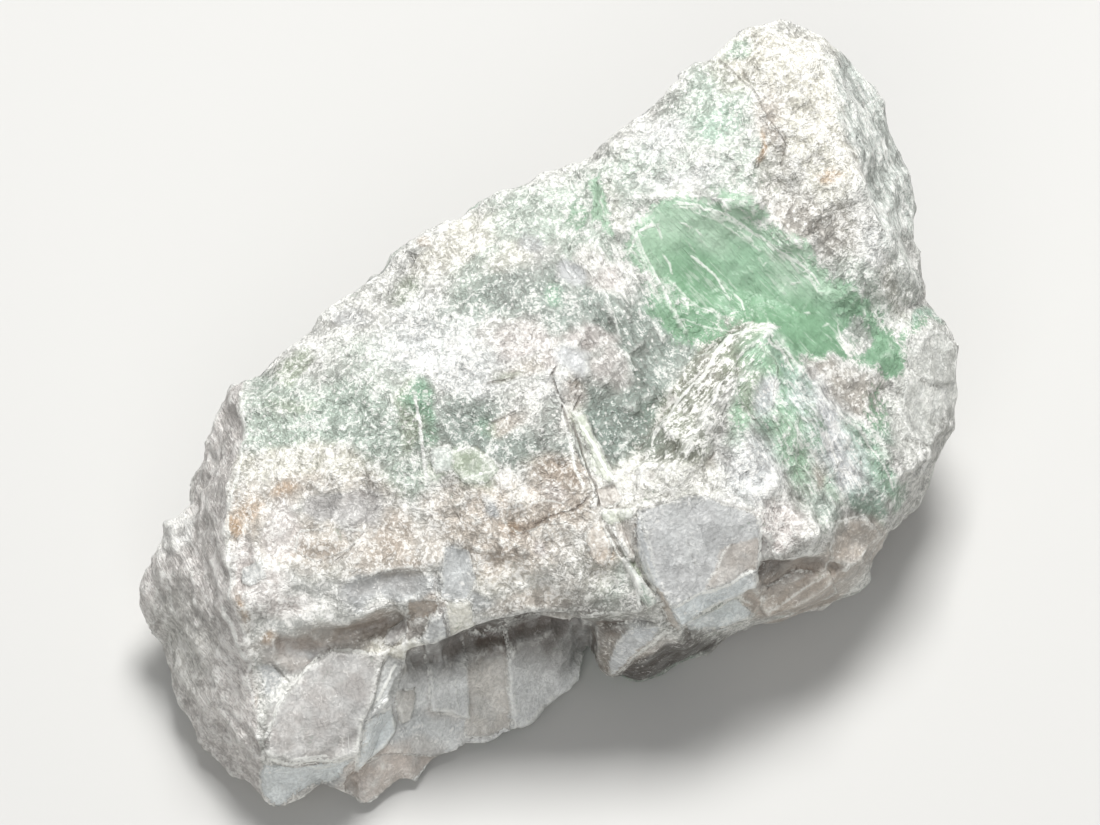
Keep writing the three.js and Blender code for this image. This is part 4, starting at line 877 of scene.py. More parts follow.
# Shallow shell-shaped hollows with sharp rims that flakes left, by their depth in mm.
SCARS: dict[float, tuple[Patch, ...]] = {
    0.2: ovals((47.2, 47.2, 2.2, 1.4, 30), (74.4, 57.2, 1, 1.4)),
    0.25: ovals(
        (34.6, 74.6, 1.6, 1.1, -30), (33, 51, 1.5, 0.9, -20), (57.5, 27.2, 1.4, 1, 40),
        (72.4, 59.2, 3, 0.9, -27), (60.6, 27.8, 1.8, 1.4), (52.4, 34.6, 1.8, 1.3),
    ),
    0.3: ovals(
        (28.6, 77.6, 1.7, 1.3), (29.8, 65.2, 2.6, 1.8, -10), (43.4, 75.6, 2, 1.4, -20),
        (45.6, 56.8, 1.6, 2.4, 6), (35.2, 51.6, 1.7, 1.2), (57.7, 36, 1.9, 1.5, 10), (92.6, 41, 2, 2.6),
        (62.4, 65.4, 2.6, 1.8), (32.6, 55.6, 2.8, 1.6), (75.4, 44.6, 2, 3, -20),
    ),
    0.35: ovals(
        (31.4, 76.4, 2.6, 1.4, -20), (49.2, 68, 2.2, 4, 4), (53.6, 67, 2.6, 4.4, 8),
        (36.4, 77.2, 3.2, 2, -30), (93.4, 36, 2.2, 2.8, 10), (80, 58.8, 3.6, 1.6, -24),
        (85.4, 54.4, 2.6, 1.6, -30), (28, 54, 2.4, 2.4), (54, 50.4, 3, 1.8, -10), (82, 15.4, 2, 3, -10),
        (79, 9.4, 2.2, 3), (84, 23, 2.2, 2.6, -20),
    ),
    0.4: ovals(
        (45, 69.4, 3, 3.6, 10), (41.4, 73, 3, 2.4, -20), (38.6, 59, 4.6, 1.5, -8), (78.4, 51.6, 2.6, 2.2),
        (24.8, 56.6, 1.6, 2.6, -8),
    ),
    0.45: ovals((26.9, 68.2, 1.2, 2.1)),
}

# White bruises that another stone rubbed into the waxy green: start and end of each stroke.
SCRATCHES: tuple[tuple[float, float, float, float], ...] = (
    (66.6, 20.6, 72.8, 22.4), (70.4, 21, 75.6, 24.4), (74.2, 22.8, 78.8, 26.4), (76.2, 24.2, 80.2, 27.8),
    (67.4, 22.2, 70.6, 24), (79.2, 27, 82.2, 29.6), (68.6, 25.4, 73.2, 30.4), (73, 29, 74.6, 31.8),
    (69, 23.6, 69.5, 22.8), (73.6, 25.4, 74.2, 24.4), (76.2, 26.9, 77, 25.8), (78.6, 28.6, 80.4, 28.4),
    (66, 25.2, 67.4, 28), (82.2, 33, 83.4, 32.2), (72.4, 31.6, 74.2, 31.2), (67.6, 29.2, 69.2, 31.6),
    (59.6, 19.6, 60.8, 22), (77.6, 33.6, 78.8, 37), (64.8, 21.6, 66.2, 24.4), (63.2, 24.6, 65, 28.6),
    (78.2, 29, 78.9, 28.2), (80.2, 31.4, 81.6, 31.6), (74.4, 28.2, 74.9, 27.4), (70.6, 30.4, 72.2, 32.4),
)


@dataclass(frozen=True)
class RoughVariscite:
    """Rough variscite in quartz, broken by hand: sugary where grainy, waxy where green, glassy in chips."""

    sugar: str = "#f8f6f1"
    wax_pale: str = "#acc7ae"
    wax_mid: str = "#8cae91"
    wax_dark: str = "#7ca181"
    milky: str = "#dfe2e0"
    pit: str = "#77706a"
    # Dark brown for the cracks, and for the painted shade in hollows and beside the flat breaks.
    dirt_and_shade: str = "#5f5347"
    bruise: str = "#f6f6f0"
    # Quartz and chalcedony both bend light by 1.54, and variscite by 1.57.
    refraction: float = 1.54
    sugary_roughness: float = 0.52
    glassy_roughness: float = 0.27
    # White grains and bruises are rougher than what lies between them by this much.
    grain_roughness: float = 0.18
    # Light that goes in comes out again about a millimetre away, which takes the hardness off the grain.
    glow: float = 0.08
    glow_depth: float = 1.0
    # In mm: the grains of the sugary quartz, the winding rows that they gather in, the crystal faces in
    # the grit, and how far apart the white dots painted as glints are. Real grains go down to 0.05 mm,
    # which is too fine to show, so these are drawn as coarse as they need to show.
    grain: float = 0.32
    row: float = 0.48
    grit: float = 0.576
    glint_spacing: float = 0.544
    # In mm: the hollows that broken-out clusters left, the milky clouds in the chalcedony, the broad
    # changes of tone, and the flat plates and chips.
    cluster: float = 1.0
    milk: float = 2.4
    cloud: float = 4.5
    plate: float = 3.4
    chip: float = 1.36
    # In mm: how wide the streaks are, those of the end face and the coarse strands of the wedge, how
    # far the grain sways from its place, and the size of the sways.
    streak: float = 0.32
    end_streak: float = 0.17
    strand: float = 0.9
    sway_reach: float = 0.9
    sway: float = 1.3
    # A streak is this many times as long as it is wide.
    streak_length: float = 1 / 0.12


class MaterialBench:
    """Puts nodes into one material's tree."""

    def __init__(self, name: str) -> None:
        """Starts an empty material.

        Args:
            name: the material's name.
        """
        self.material = bpy.data.materials.new(name)
        self.material.use_nodes = True
        self.tree = self.material.node_tree
        self.tree.nodes.clear()

    def add(self, kind: str, inputs: dict[Any, Any] | None = None, **settings: Any) -> bpy.types.Node:
        """Adds a node with its settings and links.

        Args:
            kind: the node's type name.
            inputs: socket names or numbers, each with a value or the output that feeds it.
            **settings: the node's own properties.

        Returns:
            The new node.
        """
        node = self.tree.nodes.new(kind)
        for name, value in settings.items():
            setattr(node, name, value)
        for socket, value in (inputs or {}).items():
            if isinstance(value, bpy.types.NodeSocket):
                self.tree.links.new(value, node.inputs[socket])
            else:
                node.inputs[socket].default_value = value
        return node


# Nearly all of a noise lies between these.
NOISE_LOW, NOISE_HIGH = 0.34, 0.66


class RockFinish:
    """Builds the one material of the rock from the tones and shares kept on its points."""

    # The numbers that are kept on each point.
    SHARES = (
        "frost", "wax", "glassy", "crack", "scratch", "line_side", "facet_side", "facet_share", "edge",
        "painted_cavity_shade", *STREAK_WAYS,
    )

    def __init__(self, sheet: FaceOnSheet, stone: RoughVariscite) -> None:
        """Starts the material and lays out the patterns that its layers share.

        Args:
            sheet: the sheet on which the streaks' ways are given.
            stone: the stone's colours, gloss and sizes.
        """
        self.sheet, self.stone = sheet, stone
        self.bench = MaterialBench("rough_variscite_in_quartz")
        self.share = {name: self._attribute(name, "Fac") for name in self.SHARES}
        self.origin = self.bench.add("ShaderNodeTexCoord").outputs["Object"]
        self.place = self._mapped(self.origin, Scale=(1 / MM,) * 3)
        clouds = {"Vector": self.place, "Scale": 1 / stone.sway, "Detail": 2.0}
        sway = self.bench.add("ShaderNodeTexNoise", clouds).outputs["Color"]
        self.swayed = self._vector("MULTIPLY_ADD", sway, (stone.sway_reach,) * 3, self.place)
        self.any_streak = self._sum(*((self.share[name], 1.0) for name in STREAK_WAYS))
        self.streaks, strands = self._streaks()
        fine = self._noise(self.swayed, stone.grain, 2)
        self.fine = self._between(self._product(self.any_streak, 0.8), fine, self.streaks)
        middle = self._noise(self.place, stone.cluster, 3)
        self.middle = self._between(self._product(self.share["wedge_streaks"], 0.55), middle, strands)
        self.wide = self._noise(self.place, stone.cloud, 3)
        self.plate_lean, self.plate_number = self._crystals(stone.plate)
        self.chip_lean, self.chip_number = self._crystals(stone.chip)
        # How likely a place is to be covered by white grains, which gather into flecks and ragged rows.
        rows = self._ridges(self._noise(self.swayed, stone.row, 2), 0.08)
        flecks = self._range(self.fine, NOISE_LOW, NOISE_HIGH)
        lumps = self._range(self.middle, 0.36, 0.64)
        self.cover = self._sum((flecks, 0.35), (rows, 0.18), (lumps, 0.33), (self.wide, 0.14))

    def build(self) -> bpy.types.Material:
        """Returns the finished material."""
        share, stone = self.share, self.stone
        flakes = ((self.plate_number, 0.16), (self.chip_number, 0.14))
        level = self._sum((share["frost"], -0.75), *flakes, plus=0.73)
        above = self._sum((self.cover, 1.0), (level, -1.0))
        frost = self._range(above, -0.07, 0.08)
        inside = self._range(self._sum((share["facet_side"], 1.0), (self.cover, -0.5)), -0.3, -0.2)
        facet = self._product(inside, share["facet_share"])
        white, crack = self._broken()
        colour = self._grained(self._bare(facet, above), facet, frost)
        colour = self._worn_and_shaded(self._waxed(colour), white, crack)
        gloss = self._range(share["glassy"], 0.0, 1.0, stone.sugary_roughness, stone.glassy_roughness)
        dull = self._product(self._greatest(frost, white), stone.grain_roughness)
        bump = {"Height": self._height(inside, white, crack), "Strength": 1.0, "Distance": MM}
        surface = {
            "Base Color": colour,
            "Roughness": self._sum((dull, 1.0), plus=gloss),
            "IOR": stone.refraction,
            "Normal": self.bench.add("ShaderNodeBump", bump).outputs["Normal"],
            "Subsurface Weight": stone.glow,
            "Subsurface Radius": (1.0, 1.0, 0.9),
            "Subsurface Scale": stone.glow_depth * MM,
        }
        skin = self.bench.add("ShaderNodeBsdfPrincipled", surface)
        self.bench.add("ShaderNodeOutputMaterial", {"Surface": skin.outputs["BSDF"]})
        return self.bench.material

    def _bare(self, facet: Socket, above: Socket) -> Socket:
        """Colours the stone between its grains.

        Args:
            facet: how far a flat break with a tone of its own covers each place.
            above: how far over the grains' level each place is, less than 0 where none lie.

        Returns:
            The tone, changed a little by clouds, plates, chips and grain, and darker in the pits.
        """
        colour = self._blend(facet, self._attribute("tone", "Color"), self._attribute("facet_tone", "Color"))
        milky = self._range(self._noise(self.place, self.stone.milk, 2), 0.4, 0.66)
        colour = self._blend(self._product(milky, self.share["glassy"], 0.28), colour, self.stone.milky)
        for pattern, low, high, shade, light in (
            (self.wide, 0.35, 0.65, 0.93, 1.05), (self.plate_number, 0.0, 1.0, 1.05, 0.94),
            (self.chip_number, 0.0, 1.0, 1.05, 0.93), (self.fine, NOISE_LOW, NOISE_HIGH, 0.88, 1.1),
        ):
            colour = self._times(colour, self._range(pattern, low, high, shade, light))
        pits = self._product(self._range(above, -0.12, -0.34), self._rest(self.share["glassy"]), 0.3)
        return self._blend(pits, colour, self.stone.pit)

    def _grained(self, colour: Socket, facet: Socket, frost: Socket) -> Socket:
        """Lays the white grains over the stone, with a painted glint here and there.

        Args:
            colour: the stone's own colour.
            facet: how far a flat break covers each place, where fewer grains lie.
            frost: where the grains are.

        Returns:
            The colour with its grains.
        """
        fewer = self._sum((facet, -0.65), plus=1.0)
        strength = self._sum((self.share["flank_streaks"], 0.25), plus=0.6)
        colour = self._blend(self._product(frost, fewer, strength), colour, self.stone.sugar)
        # Painted glints: white dots where grains would sparkle.
        glint_dots = self._product(self._painted_glints(), self._range(self.share["frost"], 0.04, 0.34, 0.08, 0.7))
        return self._blend(glint_dots, colour, self.stone.sugar)

    def _waxed(self, colour: Socket) -> Socket:
        """Lays the waxy green over the stone, torn at its borders and veiled along its streaks."""
        tone = self._attribute("wax_tone", "Color")
        tone = self._times(tone, self._range(self.streaks, 0.36, 0.64, 0.97, 1.03))
        tone = self._times(tone, self._range(self.middle, 0.35, 0.65, 0.93, 1.06))
        wax, wide = self.share["wax"], self.wide
        torn = self._sum((wax, 1.0), (self.cover, -0.75), (wide, 1.1), (self.streaks, 0.5), plus=-0.8)
        veil = self._product(self._range(self._sum((self.streaks, 0.5), (wide, 0.3)), 0.42, 0.5), 0.25)
        return self._blend(self._product(self._range(torn, -0.08, 0.36), self._rest(veil)), colour, tone)

    def _broken(self) -> tuple[Socket, Socket]:
        """Returns how white each place is bruised, and how deep in a crack it is."""
        share = self.share
        ragged = self._sum((self.fine, 0.3), (self.middle, 0.4), plus=-0.35)
        broken = self._sum((self.fine, 0.5), (self.middle, 0.5))
        chatter = self._range(broken, 0.42, 0.54)
        unbroken = self._range(self._sum((broken, 1.0), (share["scratch"], 0.2)), 0.5, 0.62)
        from_line = self._size(self._sum((share["line_side"], 1.0), (ragged, 1.0)))
        from_border = self._size(self._sum((share["facet_side"], 1.0), (ragged, 1.0)))
        thin = self._sum((from_line, 1.0), (share["scratch"], -0.14), plus=0.14)
        scratch = self._product(self._range(thin, 0.24, 0.1), share["scratch"], unbroken)
        crack = self._product(self._range(from_line, 0.16, 0.03), share["crack"])
        rim = self._product(self._range(from_border, 0.16, 0.04), chatter, 0.6)
        # Convex edges are whitened: partly the stone's bruised edges, partly a painted highlight.
        edge = self._product(share["edge"], self._range(chatter, 0.0, 1.0, 0.35, 1.0), 0.7)
        return self._greatest(scratch, self._greatest(rim, edge)), crack

    def _worn_and_shaded(self, colour: Socket, white: Socket, crack: Socket) -> Socket:
        """Wears the stone, and paints shade into its hollows and beside its flat breaks.

        Args:
            colour: the fresh stone's colour.
            white: how white each place is bruised.
            crack: how deep in a crack it is.

        Returns:
            The colour with painted shade in its hollows and just outside its flat breaks, darker in
            its cracks, and with bruised white edges, partly a painted highlight on convex places.
        """
        side, stone = self.share["facet_side"], self.stone
        # A thin painted shadow just outside each flat break's border.
        beside = self._product(self._range(side, -0.34, -0.14), self._range(side, -0.02, -0.14))
        for share, strength, over in (
            # Painted shade in concave places and beside the flat breaks, then white bruises and dark cracks.
            (self.share["painted_cavity_shade"], 0.34, stone.dirt_and_shade), (beside, 0.12, stone.dirt_and_shade),
            (white, 0.95, stone.bruise), (crack, 0.75, stone.dirt_and_shade),
        ):
            colour = self._blend(self._product(share, strength), colour, over)
        return colour

    def _height(self, inside: Socket, white: Socket, crack: Socket) -> Socket:
        """Raises the grain.

        Args:
            inside: 1 on a flat break, which stands a little higher at its border.
            white: how white each place is bruised.
            crack: how deep in a crack it is.

        Returns:
            The height in mm.
        """
        quiet = self._range(self.share["glassy"], 0.0, 1.0, 1.0, 0.24)
        plates = self._sum((self.plate_lean, 0.3), (self.chip_lean, 0.4))
        grit = self._sum((self._crystals(self.stone.grit)[0], 0.62), (self.cover, 0.18), (plates, 0.8))
        grit = self._product(grit, quiet, clamp=False)
        ribbed = self._sum((self.any_streak, 1.0), (self.share["hollow_streaks"], -0.6))
        ribs = self._product(self.streaks, ribbed, clamp=False)
        return self._sum(
            (grit, 1.0), (ribs, 0.17), (crack, -0.25), (white, 0.04), (inside, 0.14), (plates, 0.12),
        )

    def _attribute(self, name: str, output: str) -> Socket:
        """Reads what is kept on the rock's points under a name."""
        return self.bench.add("ShaderNodeAttribute", attribute_name=name).outputs[output]

    def _mapped(self, place: Socket, **settings: Any) -> Socket:
        """Turns or scales places."""
        return self.bench.add("ShaderNodeMapping", {"Vector": place, **settings}).outputs["Vector"]

    def _vector(self, operation: str, first: Any, second: Any, third: Any = (0, 0, 0)) -> Socket:
        """Returns one sum of vectors."""
        inputs = {0: first, 1: second, 2: third}
        return self.bench.add("ShaderNodeVectorMath", inputs, operation=operation).outputs["Vector"]

    def _noise(self, place: Any, size: float, detail: float) -> Socket:
        """Returns a cloud of noise whose lumps have a size in mm."""
        inputs = {"Vector": place, "Scale": 1 / size, "Detail": detail, "Roughness": 0.6}
        return self.bench.add("ShaderNodeTexNoise", inputs).outputs["Fac"]

    def _ridges(self, noise: Any, width: float) -> Socket:
        """Turns noise into thin winding rows, which are 1 where it's middling."""
        return self._range(self._size(self._sum((noise, 1.0), plus=-0.5)), width, 0.0)

    def _streaks(self) -> tuple[Socket, Socket]:
        """Returns fine noise drawn out along each place's streaks, and the wedge's coarse strands."""
        result: Any = 0.5
        strands: Any = 0.5
        squeezed = (1 / MM / self.stone.streak_length, 1 / MM, 1 / MM)
        for name, way in STREAK_WAYS.items():
            turned = Vector(self.sheet.direction(way)).to_track_quat("X", "Z").inverted().to_euler()
            lined_up = self._mapped(self.origin, Rotation=turned)
            drawn = self._mapped(lined_up, Scale=squeezed)
            size = self.stone.end_streak if name == "end_streaks" else self.stone.streak
            result = self._between(self.share[name], result, self._noise(drawn, size, 3))
            if name == "wedge_streaks":
                strands = self._noise(drawn, self.stone.strand, 2)
        return result, strands

    def _crystals(self, size: float) -> tuple[Socket, Socket]:
        """Lays out flat crystal faces.

        Args:
            size: how wide they are, in mm.

        Returns:
            Their height, as each leans its own way, and a number of its own for each.
        """
        cells, numbers = self._cells(size)
        away = self._vector("SUBTRACT", self.swayed, cells["Position"])
        lean = self._vector("SUBTRACT", cells["Color"], (0.5, 0.5, 0.5))
        height = self.bench.add("ShaderNodeVectorMath", {0: away, 1: lean}, operation="DOT_PRODUCT")
        return height.outputs["Value"], numbers["Blue"]

    def _painted_glints(self) -> Socket:
        """Returns small ragged dots painted as glints; some cells have one and most have none."""
        cells, numbers = self._cells(self.stone.glint_spacing)
        far = self._sum((cells["Distance"], 1.0), (self.fine, 1.3), plus=-0.65)
        return self._product(self._range(far, 0.42, 0.2), self._range(numbers["Red"], 0.6, 0.95))

    def _cells(self, size: float) -> tuple[Any, Any]:
        """Fills space with cells of a size in mm: their places and distances, and numbers of their own."""
        inputs = {"Vector": self.swayed, "Scale": 1 / size}
        cells = self.bench.add("ShaderNodeTexVoronoi", inputs, feature="F1").outputs
        return cells, self.bench.add("ShaderNodeSeparateColor", {"Color": cells["Color"]}).outputs

    def _sum(self, *parts: tuple[Any, float], plus: Any = 0.0) -> Socket:
        """Adds numbers up, each with its weight."""
        total: Any = plus
        for value, weight in parts:
            total = self._math("MULTIPLY_ADD", value, weight, total)
        return total

    def _product(self, *values: Any, clamp: bool = True) -> Socket:
        """Multiplies numbers with each other."""
        total = values[0]
        for value in values[1:]:
            total = self._math("MULTIPLY", total, value, clamp=clamp)
        return total

    def _rest(self, share: Any) -> Socket:
        """Returns what a share leaves of the whole."""
        return self._sum((share, -1.0), plus=1.0)

    def _size(self, value: Any) -> Socket:
        """Returns a number without its sign."""
        return self._math("ABSOLUTE", value, 0.0)

    def _greatest(self, first: Any, second: Any) -> Socket:
        """Returns the greater of two numbers."""
        return self._math("MAXIMUM", first, second, clamp=True)

    def _math(
        self, operation: str, first: Any, second: Any, third: Any = 0.5, clamp: bool = False
    ) -> Socket:
        """Works one number out of up to three others."""
        inputs = {0: first, 1: second, 2: third}
        node = self.bench.add("ShaderNodeMath", inputs, operation=operation, use_clamp=clamp)
        return node.outputs["Value"]

    def _range(
        self, value: Any, low: float, high: float, to_low: float = 0.0, to_high: float = 1.0
    ) -> Socket:
        """Maps a number smoothly from one span to another."""
        inputs = {"Value": value, "From Min": low, "From Max": high, "To Min": to_low, "To Max": to_high}
        node = self.bench.add("ShaderNodeMapRange", inputs, interpolation_type="SMOOTHSTEP")
        return node.outputs["Result"]

    def _between(self, share: Any, under: Any, over: Any) -> Socket:
        """Returns a number between two others."""
        return self.bench.add("ShaderNodeMix", {0: share, 2: under, 3: over}, data_type="FLOAT").outputs[0]

    def _times(self, colour: Any, shade: Any) -> Socket:
        """Darkens or lightens a colour."""
        inputs = {0: 1.0, 6: colour, 7: shade}
        return self.bench.add("ShaderNodeMix", inputs, data_type="RGBA", blend_type="MULTIPLY").outputs[2]

    def _blend(self, share: Any, under: Socket, over: Any) -> Socket:
        """Lays one colour over another by a share."""
        inputs = {0: share, 6: under, 7: linear(over) if isinstance(over, str) else over}
        return self.bench.add("ShaderNodeMix", inputs, data_type="RGBA").outputs[2]


@dataclass
class RockSurface:
    """The rock's skin: the CAD node's own shape, cut finer, rounded between its edges and broken up."""

    sheet: FaceOnSheet = field(default_factory=FaceOnSheet)
    stone: RoughVariscite = field(default_factory=RoughVariscite)
    fine_step: float = 0.4
    seen_step: float = 0.52
    hidden_step: float = 1.1
    refining_rounds: int = 6
    crease_angle: float = math.radians(18)
    rounding_passes: int = 3
    unfolding_passes: int = 6
    fine_patches: tuple[Patch, ...] = ovals(
        (74, 27, 12, 6.5, 36), (63, 55, 10, 3, 62), (35, 66, 8, 5), (72, 59, 4, 2, -27),
    )

    def build(self, node: bpy.types.Object) -> bpy.types.Object:
        """Makes the rock's visible piece.

        Args:
            node: the CAD node, which is left as it is.

        Returns:
            The new object, at the origin, with its tones and shares on each point.
        """
        rock = bpy.data.objects.new("rock_of_rough_variscite", self._refined(node.data))
        bpy.context.scene.collection.objects.link(rock)
        mesh = rock.data
        points = self._read(mesh, "vertices", "co") / MM
        normals = self._read(mesh, "vertex_normals", "vector")
        paint = RockPaint(self.sheet, self.stone, points, normals)
        relief = RockRelief(self.sheet, points, paint)
        moved = self._unfold(mesh, points + normals * relief.height()[:, None], normals)
        # The foot stays flat on the floor.
        moved[:, 2] = np.where(points[:, 2] < 0.02, points[:, 2], np.maximum(moved[:, 2], 0.0))
        mesh.vertices.foreach_set("co", (moved * MM).ravel())
        mesh.update()
        bulge = self._bulge(mesh, moved)
        shares = {
            # Convex edges: partly bruising, partly a painted highlight.
            **paint.shares, **relief.shares, "edge": smooth_step(0.1, 0.7, bulge),
            # Painted shade in concave places.
            "painted_cavity_shade": smooth_step(0.15, 0.8, -bulge),
        }
        for name in RockFinish.SHARES:
            kept = mesh.attributes.new(name, "FLOAT", "POINT")
            kept.data.foreach_set("value", shares[name].astype(np.float32))
        for name, tone in paint.tones.items():
            colours = np.column_stack((tone, np.ones(len(tone)))).astype(np.float32)
            kept = mesh.attributes.new(name, "FLOAT_COLOR", "POINT")
            kept.data.foreach_set("color", colours.ravel())
        mesh.shade_smooth()
        mesh.materials.append(RockFinish(self.sheet, self.stone).build())
        return rock

    def _refined(self, source: bpy.types.Mesh) -> bpy.types.Mesh:
        """Copies the CAD mesh, merges it, cuts its long edges and rounds the ground between creases."""
        shape = bmesh.new()
        shape.from_mesh(source)
        bmesh.ops.scale(shape, vec=(1 / MM, 1 / MM, 1 / MM), verts=shape.verts)
        bmesh.ops.remove_doubles(shape, verts=shape.verts, dist=0.001)
        for _ in range(self.refining_rounds):
            long_edges = self._long_edges(shape)
            if not long_edges:
                break
            bmesh.ops.subdivide_edges(shape, edges=long_edges, cuts=1)
            bmesh.ops.triangulate(shape, faces=[face for face in shape.faces if len(face.verts) > 3])
        creased = {
            vertex
            for edge in shape.edges
            if len(edge.link_faces) == 2 and edge.calc_face_angle(0.0) > self.crease_angle
            for vertex in edge.verts
        }
        loose = [vertex for vertex in shape.verts if vertex not in creased and vertex.co.z > 0.01]
        every_way = {"use_axis_x": True, "use_axis_y": True, "use_axis_z": True}
        for _ in range(self.rounding_passes):
            bmesh.ops.smooth_vert(shape, verts=loose, factor=0.5, **every_way)
        bmesh.ops.scale(shape, vec=(MM, MM, MM), verts=shape.verts)
        mesh = bpy.data.meshes.new("rock_of_rough_variscite")
        shape.to_mesh(mesh)
        shape.free()
        return mesh

    def _long_edges(self, shape: bmesh.types.BMesh) -> list[bmesh.types.BMEdge]:
        """Lists the edges that are longer than their part of the rock allows."""
        shape.normal_update()
        edges = list(shape.edges)
        ends = np.array([(*edge.verts[0].co, *edge.verts[1].co) for edge in edges])
        facing = np.array([(edge.verts[0].normal + edge.verts[1].normal) for edge in edges])
        seen = facing @ np.array(self.sheet.axes()[2]) > -0.05
        fine = any_of(self.fine_patches, self.sheet.place((ends[:, :3] + ends[:, 3:]) / 2)) > 0.3
        limit = np.where(seen, np.where(fine, self.fine_step, self.seen_step), self.hidden_step)
        length = np.linalg.norm(ends[:, :3] - ends[:, 3:], axis=1)
        return [edge for edge, too_long in zip(edges, length > limit) if too_long]

    def _read(self, mesh: bpy.types.Mesh, group: str, name: str) -> np.ndarray:
        """Reads one vector from each of a mesh's points."""
        rows = getattr(mesh, group)
        flat = np.empty(len(rows) * 3)
        rows.foreach_get(name, flat)
        return flat.reshape(-1, 3)

    def _ends(self, mesh: bpy.types.Mesh) -> tuple[np.ndarray, np.ndarray]:
        """Lists the two points of each edge."""
        edges = np.empty(len(mesh.edges) * 2, dtype=np.int32)
        mesh.edges.foreach_get("vertices", edges)
        return tuple(edges.reshape(-1, 2).T)

    def _near(self, ends: tuple[np.ndarray, np.ndarray], count: int) -> np.ndarray:
        """Counts each point's neighbours."""
        return np.bincount(ends[0], minlength=count) + np.bincount(ends[1], minlength=count)

    def _neighbours(self, ends: tuple[np.ndarray, np.ndarray], values: np.ndarray) -> np.ndarray:
        """Averages the values of each point's neighbours."""
        start, end = ends
        count = len(values)
        columns = values.reshape(count, -1).T
        sums = [np.bincount(start, row[end], count) + np.bincount(end, row[start], count) for row in columns]
        return (np.column_stack(sums) / self._near(ends, count)[:, None]).reshape(values.shape)

    def _unfold(self, mesh: bpy.types.Mesh, points: np.ndarray, normals: np.ndarray) -> np.ndarray:
        """Draws points together where the skin turned over on itself."""
        corners_of = np.empty(len(mesh.polygons) * 3, dtype=np.int32)
        mesh.polygons.foreach_get("vertices", corners_of)
        corners_of = corners_of.reshape(-1, 3)
        ends = self._ends(mesh)
        for _ in range(self.unfolding_passes):
            first, second, third = (points[corners_of[:, corner]] for corner in range(3))
            facing = np.cross(second - first, third - first)
            facing /= np.linalg.norm(facing, axis=1)[:, None] + 1e-12
            wanted = normals[corners_of].sum(axis=1)
            folded = np.einsum("ij,ij->i", facing, wanted) < 0.6
            if not folded.any():
                break
            amount = np.zeros(len(points))
            amount[corners_of[folded].ravel()] = 1.0
            amount = np.maximum(amount, self._neighbours(ends, amount))[:, None]
            points = points + (self._neighbours(ends, points) - points) * amount
        return points

    def _bulge(self, mesh: bpy.types.Mesh, points: np.ndarray) -> np.ndarray:
        """Measures how far each point stands out of its neighbours, against their distance."""
        normals = self._read(mesh, "vertex_normals", "vector")
        ends = self._ends(mesh)
        length = np.linalg.norm(points[ends[0]] - points[ends[1]], axis=1)
        count = len(points)
        spans = np.bincount(ends[0], length, count) + np.bincount(ends[1], length, count)
        span = spans / self._near(ends, count)
        bulge = np.einsum("ij,ij->i", points - self._neighbours(ends, points), normals) / span
        return 2 * bulge + 2 * self._neighbours(ends, bulge)


